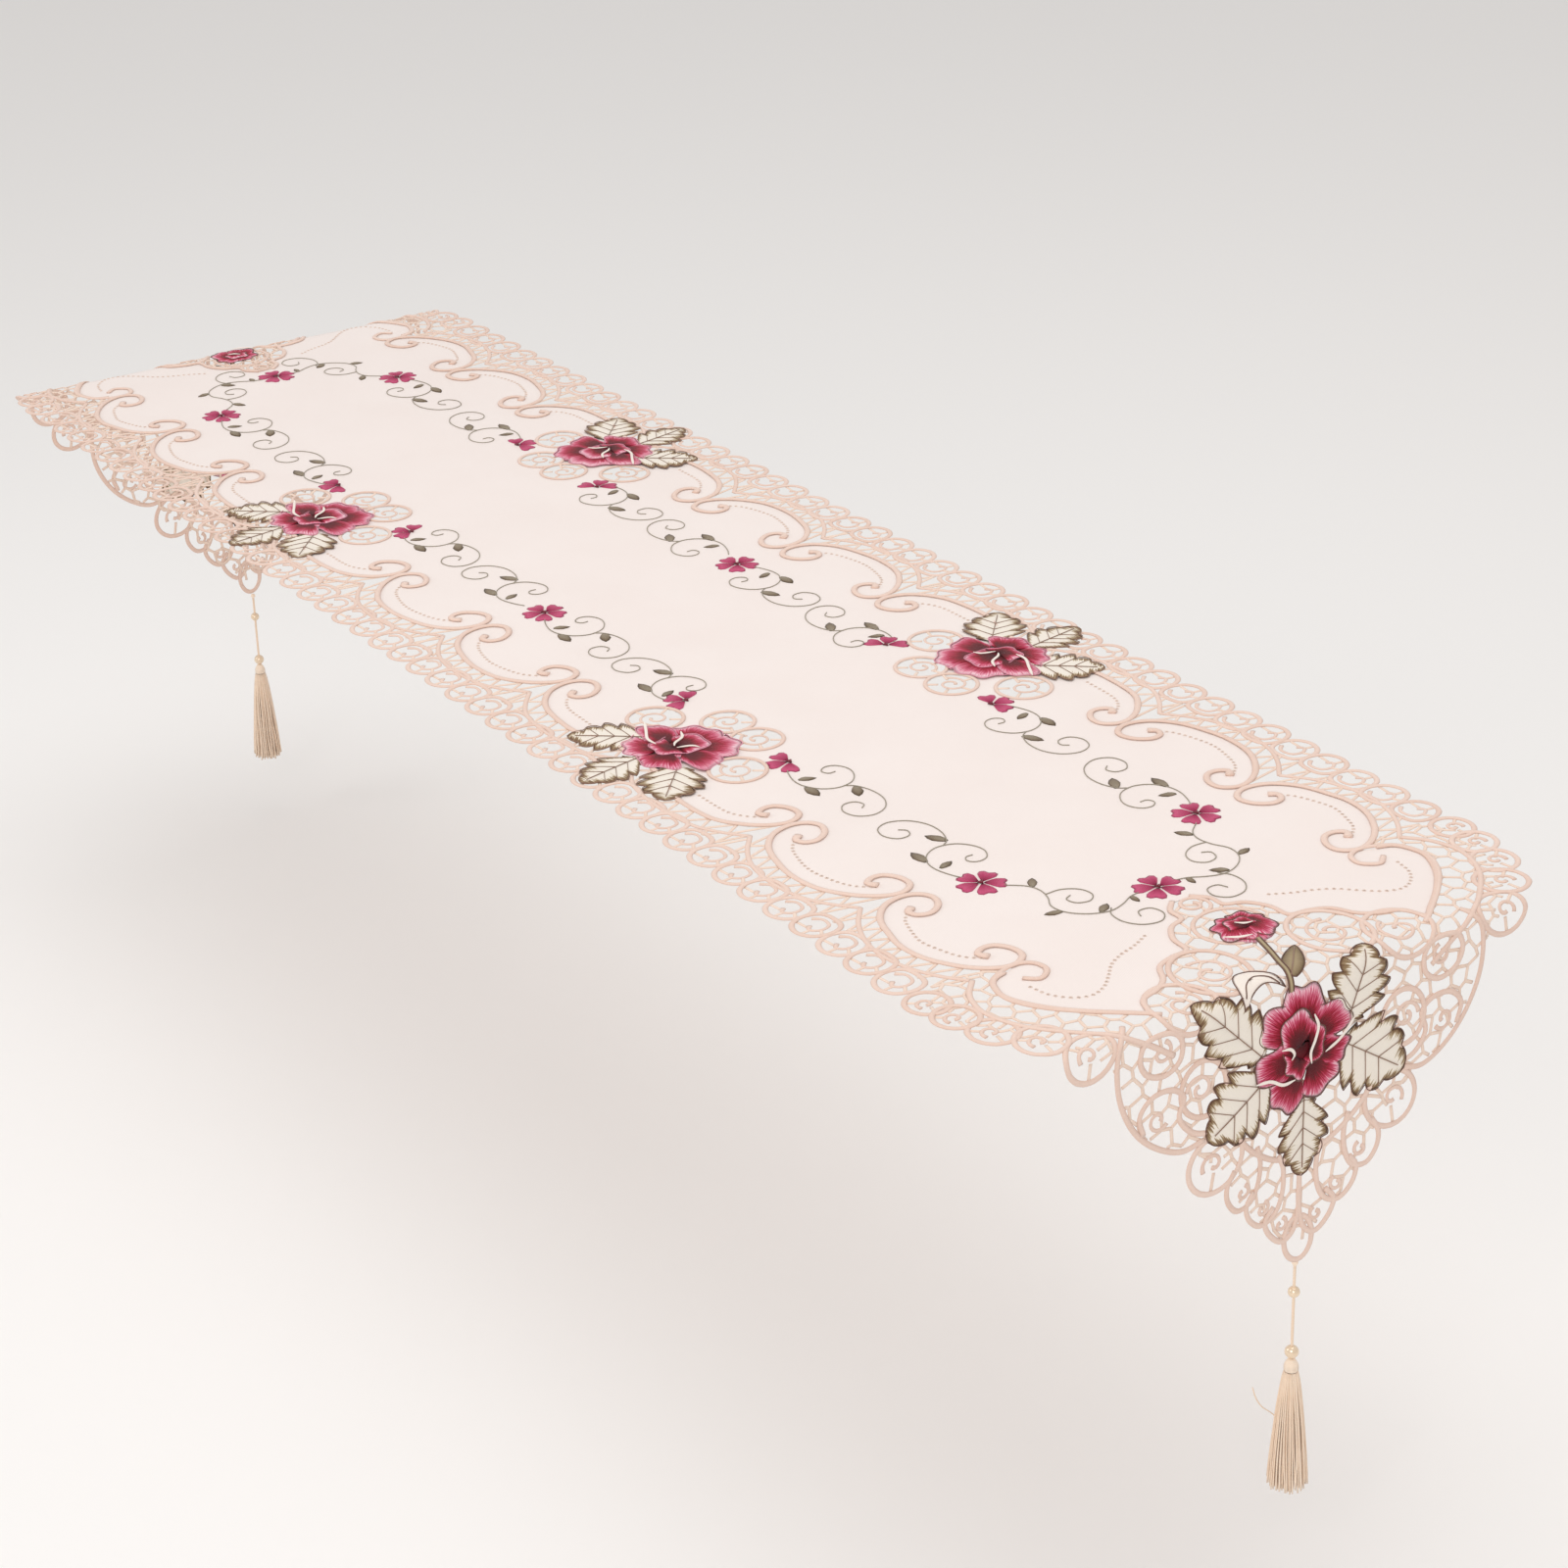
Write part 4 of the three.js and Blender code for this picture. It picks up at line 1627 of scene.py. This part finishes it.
    def leaf_body(self, quilt: Quilt, blade: Blade) -> None:
        """Adds the padded top and the flat underside of a leaf.

        Args:
            quilt: Quilt that takes them.
            blade: The leaf's outline.
        """
        t, half = blade.t[:, None], blade.half[:, None]
        s = np.linspace(-1, 1, quilt.columns)
        lean = np.abs(s) ** 1.5 * blade.sweep
        reach = t * blade.length + lean[None] * blade.envelope[:, None] * (1 - t)
        arch = (1 - np.abs(s) ** 4) ** 0.5 * (1 - 0.35 * np.exp(-((s / 0.12) ** 2)))
        margin = half * (1 - np.abs(s)[None])
        shade = np.clip(1 - margin / self.rim, 0, 1)
        aside = half * s
        mapped = np.stack([reach, aside], axis=-1)
        flat = blade.base + reach[..., None] * blade.along + aside[..., None] * blade.across
        for top in (1, 0):
            points = np.empty((len(t), len(s), 3))
            points[..., :2] = flat
            points[..., 2] = self.level - 0.25 + top * self.crown * 0.8 * arch * np.sign(half)
            quilt.patches.append(Patch(points, mapped, shade))

    def leaf_veins(self, quilt: Quilt, blade: Blade, shares: Sequence[float]) -> None:
        """Adds a leaf's midrib and its side veins.

        Args:
            quilt: Quilt that takes them.
            blade: The leaf's outline.
            shares: Where pairs of side veins start, as shares of the midrib.
        """
        top = self.level + self.crown * 0.45
        midrib = curve([blade.base, blade.base + blade.along * blade.length * 0.9], FINE_STEP)
        quilt.cord(midrib, self.line * 1.1, 0.5, top, finish=2)
        for share in shares:
            for way in (-1, 1):
                start = blade.base + blade.along * blade.length * share
                out = blade.along * blade.length * 0.2 + blade.across * way * blade.width * 0.3
                quilt.cord(curve([start, start + out], FINE_STEP), self.line * 0.8, 0.5, top, finish=2)

    def curled_leaf(self, node: str, way: float, end: End) -> None:
        """Works the narrow leaf that curls back beside the stem, with its rib.

        Args:
            node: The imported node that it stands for.
            way: 1 at the near end and -1 at the far one.
            end: The end that it bends over.
        """
        quilt = Quilt(f"{node}_threads", 41)
        back = [(708, -14), (699, -16), (692, -21), (688, -28), (688, -36), (694, -41), (702, -43)]
        fold = [(714, -43), (708, -38), (704, -32), (702, -25), (704, -19), (708, -14)]
        rib = [(705, -17), (699, -21), (695.5, -27), (696, -31), (700, -37), (707, -41)]
        edge = np.array(back + fold) * way
        quilt.petal(np.array((696, -31)) * way, edge, self.level, self.crown, rows=8)
        low = self.level + self.crown * 0.2
        high = self.level + self.crown - 0.3
        for line, width, level in (
            (back + fold[:1], self.line, low),
            (fold, self.line, low),
            (rib, self.line * 1.3, high),
        ):
            quilt.cord(curve(np.array(line) * way, 1.4), width, 0.6, level, finish=1)
        piece = quilt.made([self.finishes.cream, self.finishes.outline], self.drape)
        self.settled(piece, node, end)

    def side_spray(self, name: str, middle: Sequence[float], turned: bool) -> None:
        """Works one of the four roses along the sides, with its three leaves.

        Args:
            name: Start of its pieces' names.
            middle: Where its heart lies in the flat pattern.
            turned: Whether it is turned half round.
        """
        turn = np.diag((-1.0, -1.0)) if turned else np.eye(2)
        self.bloom(f"{name}_rose", LYING_ROSE, middle, turn, None)
        leaves = (((-24, -12), (-56, -51), 44), ((0, -32), (10, -79), 38), ((24, -18), (62, -51), 44))
        for i, (base, tip, width) in enumerate(leaves):
            ends = [np.asarray(p, float) @ turn.T + middle for p in (base, tip)]
            self.leaf(f"{name}_leaf_{i + 1}", ends[0], ends[1], width, None)

    def end_spray(self, end: End) -> None:
        """Works an end's bud, stem, small leaves, hanging rose and its five leaves.

        Args:
            end: The end.
        """
        way = float(end.value)
        turn = way * np.array(((0.0, -1.0), (1.0, 0.0)))
        name = end.label

        def flat(points: Points | Sequence[float]) -> np.ndarray:
            """Turns points of the near end's pattern to this end."""
            return np.asarray(points, float) * way

        self.bloom(f"{name}_bud", OPENING_BUD, flat((646, 5)), turn, end)
        stem = Quilt(f"{name}_bud_stem_threads", 9)
        # the stem's middle cord takes the bud-leaf thread, whose ramp follows the cord's fade, so its flanks
        # come out darker: painted shade
        for offset, finish in ((0.0, 0), (-1.7, 1), (1.7, 1)):
            path = [(u, v + offset) for u, v in ((661, 3), (676, -1), (692, -6), (712, -11))]
            width = 2.6 if finish == 0 else 0.8
            stem.cord(curve(flat(path), FINE_STEP), width, 0.9, self.level, finish=finish)
        piece = stem.made([self.finishes.bud, self.finishes.outline], self.drape)
        self.settled(piece, f"{name}_bud_stem", end)
        self.leaf(f"{name}_bud_leaf", flat((703, -8)), flat((679, 14)), 13, end, 3, True)
        self.curled_leaf(f"{name}_curled_leaf", way, end)
        self.bloom(f"{name}_rose", HANGING_ROSE, flat((745, -2)), turn, end)
        leaves = (
            ((747, -29), (700, -75), 40),
            ((756, -25), (785, -68), 50),
            ((779, 0), (830, 1), 38),
            ((753, 25), (783, 70), 52),
            ((745, 29), (698, 46), 46),
        )
        for i, (base, tip, width) in enumerate(leaves):
            self.leaf(f"{name}_leaf_{i + 1}", flat(base), flat(tip), width, end)


@dataclass
class Garland:
    """The ring of small flowers, curling stems and leaves embroidered on the ground cloth."""

    drape: Drape
    finishes: Finishes
    level: float = 0.95
    petal: float = 15.5
    stem_width: float = 0.75
    flower_reach: float = 14.6
    vine: tuple = (
        (
            *((14, -82), (22, -86), (33, -89), (43, -88), (52, -82), (56.5, -72), (54, -61)),
            *((46, -54), (37, -52), (29, -56), (27, -63), (31, -68), (36, -66), (36, -61)),
        ),
        (
            *((56, -68), (61, -62), (72, -58), (85, -58.5), (96, -65), (101, -76)),
            *((97, -86), (87, -89), (79, -84), (79, -76), (85, -73), (89, -77)),
        ),
    )
    vine_leaves: tuple = (((33, -86), (37, -75)), ((44, -88), (60, -88)), ((60, -62), (74, -69)))
    vine_places: tuple = ((0.0, False), (208.0, True), (302.0, False), (518.0, True))
    corner: tuple = (
        (
            *((524, -70), (533, -60), (542, -57), (552, -59), (562, -64), (573, -62)),
            *((582, -53), (586, -41), (583, -30), (578, -21), (576, -13)),
        ),
        ((548, -58), (548, -47), (554, -38), (563, -36), (569, -42), (567, -50), (560, -52), (557, -47)),
        (
            *((583, -38), (590, -43), (601, -43), (610, -36), (612, -25)),
            *((605, -18), (596, -20), (595, -28), (601, -31)),
        ),
    )
    corner_leaves: tuple = (
        ((536, -58), (526, -51)),
        ((571, -63), (568, -74)),
        ((584, -46), (577, -36)),
        ((577, -20), (586, -20)),
    )

    def strokes(self) -> tuple[list[np.ndarray], list[np.ndarray]]:
        """Every stem and every leaf's base and tip, as points in the flat pattern."""
        stems, leaves = [], []
        for first, mirror in self.vine_places:
            for source, target in ((self.vine, stems), (self.vine_leaves, leaves)):
                for points in source:
                    moved = np.asarray(points, float)
                    moved = moved * ((-1, 1) if mirror else (1, 1)) + (first, 0)
                    target.append(moved)
        stems += [np.asarray(points, float) for points in self.corner]
        leaves += [np.asarray(points, float) for points in self.corner_leaves]
        signs = ((1, 1), (1, -1), (-1, 1), (-1, -1))
        return [p * s for s in signs for p in stems], [p * s for s in signs for p in leaves]

    def blossom(self, quilt: Quilt, middle: Sequence[float], turn: float, petals: Sequence[int]) -> None:
        """Works one small flower with some of its five heart-shaped petals.

        Args:
            quilt: Quilt that takes it.
            middle: Its middle in the flat pattern.
            turn: Direction of its first petal, in degrees.
            petals: Which of its petals it has.
        """
        half = ((4.0, 1.7), (10.0, 5.6), (self.flower_reach, 4.4))
        shape = np.array([*((u, -v) for u, v in half), (13.0, 0), *reversed(half)])
        for i in petals:
            angle = math.radians(turn + 72 * i)
            spin = np.array(((math.cos(angle), -math.sin(angle)), (math.sin(angle), math.cos(angle))))
            edge = shape * (self.petal / self.flower_reach) @ spin.T + middle
            base = np.array((1.4, 0.0)) @ spin.T + middle
            quilt.petal(base, edge, self.level, 0.7, rows=6)
        quilt.cord(oval(middle, 1.3, 1.3), 2.4, 1.3, self.level, closed=True, finish=1)

    def build(self) -> None:
        """Embroiders the whole garland."""
        stems, leaves = self.strokes()
        quilt = Quilt("garland_stems", 7)
        for points in stems:
            quilt.cord(curve(points, 2.0), self.stem_width, 0.5, self.level)
        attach(report(quilt.made([self.finishes.stem], self.drape)), "root")
        quilt = Quilt("garland_leaves", 9)
        for base, tip in leaves:
            along = (tip - base) * 0.5
            side = np.array((-along[1], along[0])) * 0.5
            edge = [base + side * 0.3, base + along + side, tip, base + along - side, base - side * 0.3]
            quilt.petal(base, np.array(edge), self.level, 0.6, rows=5)
        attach(report(quilt.made([self.finishes.sprig], self.drape)), "root")
        quilt = Quilt("garland_flowers", 11)
        whole, part = range(5), range(3)
        for way in (1, -1):
            for side in (1, -1):
                self.blossom(quilt, (514 * way, 78 * side), 18 * side, whole)
                self.blossom(quilt, (190 * way, 77 * side), 90 * side - 25 + (0 if side > 0 else -100), part)
                self.blossom(quilt, (310 * way, 76 * side), 90 * side - 75 + (0 if side > 0 else -10), part)
            self.blossom(quilt, (577 * way, 0), 30, whole)
        for side in (1, -1):
            self.blossom(quilt, (5, 77 * side), 40, whole)
        threads = [self.finishes.flower, self.finishes.knot]
        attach(report(quilt.made(threads, self.drape)), "root")


@dataclass
class Tassel:
    """A tassel on a twisted cord with two pearls, hung from the tip of one end's lace.

    Attributes:
        end: The end that it hangs from.
        finishes: The runner's materials.
        cord_length: Length of the cord from the knot to the lower pearl, in metres; not used.
        cord_radius: Radius of the cord.
        cord_steps: Steps between the cord's chosen points; not used.
        lay: Length in which the cord's two plies turn once.
        knot_radius: Radius of the knot in the lace tip.
        bead_radii: Radii of the upper and lower pearl.
        strands: Threads in the skirt.
        strand_radius: Radius of each of them.
    """

    end: End
    finishes: Finishes
    cord_length: float = 0.0554
    cord_radius: float = 1.0
    cord_steps: int = 15
    lay: float = 3.2
    knot_radius: float = 1.9
    bead_radii: tuple = (3.6, 4.2)
    strands: int = 170
    strand_radius: float = 0.62

    def corners(self, node: str) -> tuple[np.ndarray, np.ndarray]:
        """Finds the box of one of this tassel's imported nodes.

        Args:
            node: The node's name, without the end.

        Returns:
            Its lowest and its highest corner, in millimetres.
        """
        low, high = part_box(f"{self.end.label}_{node}")
        return np.array(low) / MM, np.array(high) / MM

    def axis(self) -> tuple[float, float]:
        """Where the tassel's middle line stands, in millimetres."""
        low, high = self.corners("tassel_knot")
        return float(low[0] + high[0]) / 2, float(low[1] + high[1]) / 2

    def cord(self) -> bpy.types.Object:
        """Twists the two-ply cord from the knot to the lower pearl."""
        x, y = self.axis()
        low, high = self.corners("tassel_cord")
        heights = np.arange(high[2], low[2] - 0.35, -0.7)
        heights[-1] = low[2]
        path = np.column_stack([np.full(len(heights), x), np.full(len(heights), y), heights])
        quilt = Quilt(f"{self.end.label}_cord_twist", 13)
        quilt.tube(path, np.full(len(path), self.cord_radius), twist=1 / self.lay, groove=0.28)
        return quilt.made([self.finishes.silk], None)

    def turned(self, name: str, profile: Points, top: float, finish: bpy.types.Material) -> bpy.types.Object:
        """Spins a profile about the tassel's middle line.

        Args:
            name: The piece's name.
            profile: Pairs of radius and height, in millimetres, that start and end on the line.
            top: Height that the profile's heights are counted from.
            finish: The piece's material.

        Returns:
            The piece.
        """
        x, y = self.axis()
        shape = bmesh.new()
        ring = [shape.verts.new(((x + r) * MM, y * MM, (top + h) * MM)) for r, h in profile]
        for a, b in zip(ring, ring[1:]):
            shape.edges.new((a, b))
        bmesh.ops.spin(
            shape,
            geom=shape.verts[:] + shape.edges[:],
            cent=(x * MM, y * MM, 0),
            axis=(0, 0, 1),
            angle=TAU,
            steps=40,
            use_merge=True,
        )
        bmesh.ops.remove_doubles(shape, verts=shape.verts, dist=WELD)
        bmesh.ops.recalc_face_normals(shape, faces=shape.faces)
        mesh = bpy.data.meshes.new(name)
        shape.to_mesh(mesh)
        shape.free()
        threads = mesh.uv_layers.new(name="thread")
        for loop in mesh.loops:
            place = mesh.vertices[loop.vertex_index].co / MM
            angle = math.atan2(place.y - y, place.x - x)
            threads.data[loop.index].uv = (angle * 4, place.z)
        mesh.materials.append(finish)
        mesh.polygons.foreach_set("use_smooth", np.ones(len(mesh.polygons), bool))
        return linked(name, mesh)

    def ball(self, name: str, node: str, radius: float, finish: bpy.types.Material) -> bpy.types.Object:
        """Turns a slightly flattened ball with a dimple at its thread hole.

        Args:
            name: The piece's name.
            node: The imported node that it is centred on, without the end.
            radius: Its radius.
            finish: Its material.

        Returns:
            The ball.
        """
        low, high = self.corners(node)
        angle = np.linspace(-math.pi / 2, math.pi / 2, 17)
        profile = np.column_stack([np.cos(angle), np.sin(angle) * 0.97]) * radius
        profile[0, 1] += radius * 0.14
        profile[-1, 1] -= radius * 0.14
        profile[0, 0] = profile[-1, 0] = 0
        return self.turned(name, profile, float(low[2] + high[2]) / 2, finish)

    def skirt(self) -> bpy.types.Object:
        """Hangs the loose threads that fill the skirt, and the near tassel's one stray thread."""
        x, y = self.axis()
        low, high = self.corners("tassel_skirt")
        length = float(high[2] - low[2])
        quilt = Quilt(f"{self.end.label}_skirt_threads", 5)
        drop = np.linspace(0, 1, 16)
        for i in range(self.strands):
            angle = TAU * i * GOLDEN_TURN
            share = math.sqrt((i + 0.5) / self.strands)
            flare = 3.9 + 8.2 * drop ** 0.72 - 1.6 * np.clip(drop - 0.8, 0, 1)
            reach = share * flare + RANDOM.normal(0, 0.25) * drop
            sway = RANDOM.normal(0, 0.10, 2)[:, None] * np.sin(drop * RANDOM.uniform(3, 7)) * 6 * drop
            end = length * (1 - 0.05 * RANDOM.random())
            path = np.column_stack([
                x + reach * np.cos(angle + 0.2 * drop) + sway[0],
                y + reach * np.sin(angle + 0.2 * drop) + sway[1],
                float(high[2]) - drop * end,
            ])
            quilt.tube(path, np.full(len(path), self.strand_radius))
        if self.end is End.NEAR:
            stray = curve([(8, -31), (11, -28), (16, -24), (19.5, -18), (21.5, -11)], 1.2)
            out, rise = stray.T
            path = np.column_stack([x - 0.53 * out, y - 0.85 * out, float(high[2]) + rise])
            quilt.tube(path, np.full(len(path), 0.5))
        return quilt.made([self.finishes.silk], None)

    def build_cord(self) -> None:
        """Hangs the cord with its knot and pearls."""
        name = self.end.label
        cord = self.cord()
        knot = self.ball(f"{name}_knot_wrap", "tassel_knot", self.knot_radius, self.finishes.silk)
        beads = []
        for node, radius in zip(("upper_bead", "lower_bead"), self.bead_radii):
            beads.append(self.ball(f"{name}_{node}_pearl", node, radius, self.finishes.pearl))
        for piece in (cord, knot, *beads):
            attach(piece, f"{name}_tassel_cord")
        report(cord, [f"{name}_tassel_cord"])
        report(knot, [f"{name}_tassel_knot"])
        report(beads[0], [f"{name}_upper_bead"])
        report(beads[1], [f"{name}_lower_bead"])

    def build_skirt(self) -> None:
        """Hangs the bound head and the skirt below the lower pearl."""
        name = self.end.label
        low, high = self.corners("tassel_head")
        tall = float(high[2] - low[2])
        profile = [(0, 0), (1.6, -0.1), (2.4, -0.8)]
        for i in range(7):
            top = -1.2 - i * (tall - 1.6) / 7
            bulge = 2.9 + 1.5 * math.sin(math.pi * min(i / 4, 1) / 2)
            profile += [(bulge - 0.35, top), (bulge, top - 0.42)]
        profile += [(4.0, -tall + 0.1), (0, -tall)]
        head = self.turned(f"{name}_head_wrap", profile, float(high[2]), self.finishes.silk)
        skirt = self.skirt()
        for piece, node in ((head, "tassel_head"), (skirt, "tassel_skirt")):
            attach(piece, f"{name}_tassel")
            report(piece, [f"{name}_{node}"])


# ------------------------------------------------------------------ studio


@dataclass(frozen=True)
class Lamp:
    """One soft square light: its name, place, edge length, power and the point that it is turned to."""

    name: str
    place: tuple
    size: float
    power: float
    aim: tuple = (0, 0, 0)

    def lit(self) -> None:
        """Puts the light in the scene."""
        data = bpy.data.lights.new(self.name, "AREA")
        data.size = self.size
        data.energy = self.power
        lamp = linked(self.name, data)
        lamp.location = self.place
        way = Vector(self.aim) - Vector(self.place)
        lamp.rotation_euler = way.to_track_quat("-Z", "Y").to_euler()


@dataclass(frozen=True)
class Studio:
    """The pale floor, the soft lights and the camera."""

    eye: tuple = (2.01409, -1.14666, 0.90950)
    azimuth: float = 57.97
    elevation: float = 24.63
    roll: float = -1.73
    lens: float = 82.71
    farthest: float = 50.0
    floor_height: float = -0.42
    floor_size: float = 40.0
    sky: tuple = (1.0, 0.985, 0.975)
    sky_strength: float = 0.68
    lamps: tuple = (
        Lamp("overhead", (0.2, 0.2, 2.6), 2.2, 24),
        Lamp("front", (2.6, -2.2, 1.6), 1.6, 26, (0.3, 0, -0.1)),
        Lamp("left", (-1.2, -2.4, 1.4), 1.4, 11),
    )

    def camera(self) -> None:
        """Sets the camera up."""
        a, e, r = (math.radians(value) for value in (self.azimuth, self.elevation, self.roll))
        right = Vector((math.cos(a), math.sin(a), 0))
        back = Vector((math.sin(a) * math.cos(e), -math.cos(a) * math.cos(e), math.sin(e)))
        up = back.cross(right)
        across = right * math.cos(r) + up * math.sin(r)
        above = up * math.cos(r) - right * math.sin(r)
        data = bpy.data.cameras.new("camera")
        data.lens = self.lens
        data.clip_end = self.farthest
        camera = linked("camera", data)
        turn = Matrix((across, above, back)).transposed().to_4x4()
        camera.matrix_world = Matrix.Translation(self.eye) @ turn
        bpy.context.scene.camera = camera

    def dressed(self, finishes: Finishes) -> None:
        """Lays the floor and sets the lights.

        Args:
            finishes: The runner's materials, with the floor's.
        """
        floor = bmesh.new()
        bmesh.ops.create_grid(floor, x_segments=2, y_segments=2, size=self.floor_size)
        bmesh.ops.translate(floor, verts=floor.verts, vec=(0, 0, self.floor_height))
        mesh = bpy.data.meshes.new("studio_floor")
        floor.to_mesh(mesh)
        floor.free()
        mesh.materials.append(finishes.floor)
        linked("studio_floor", mesh)
        for lamp in self.lamps:
            lamp.lit()
        world = bpy.data.worlds.new("studio_light")
        world.use_nodes = True
        background = world.node_tree.nodes["Background"]
        background.inputs["Color"].default_value = (*self.sky, 1)
        background.inputs["Strength"].default_value = self.sky_strength
        bpy.context.scene.world = world
        bpy.context.scene.view_settings.view_transform = "Standard"


def fold_of(end: End) -> float:
    """Finds where an end's fold lies, from its joint.

    Args:
        end: The end.

    Returns:
        The fold's distance from the runner's middle, in millimetres.
    """
    joint = next(j for j in frame["joints"] if j["name"] == f"{end.label}_drop_lift")
    return abs(joint["pos_m"][0]) / MM


def main() -> None:
    """Builds the runner round its frame, piece by piece."""
    logging.basicConfig(level=logging.INFO, format="%(message)s")
    studio = Studio()
    studio.camera()
    finishes = Finishes()
    drape = Drape(near_fold=fold_of(End.NEAR), far_fold=fold_of(End.FAR))
    tassels = [Tassel(end, finishes) for end in End]
    for tassel in tassels:
        tassel.build_cord()
    pattern = Pattern()
    cloth = GroundCloth(pattern, drape)
    cloth.build(finishes)
    lace = Lace(pattern, drape, finishes)
    for side in Side:
        lace.side(side)
    for end in End:
        lace.end(end, cloth.outline())
    applique = Applique(drape, finishes)
    u, v = pattern.rose
    for side in Side:
        applique.side_spray(f"{side.label}_near", (u, v * side.value), side is Side.BACK)
        applique.side_spray(f"{side.label}_far", (-u, v * side.value), side is Side.BACK)
    for end in End:
        applique.end_spray(end)
    Garland(drape, finishes).build()
    for tassel in tassels:
        tassel.build_skirt()
    studio.dressed(finishes)


if __name__ == "__main__":
    main()
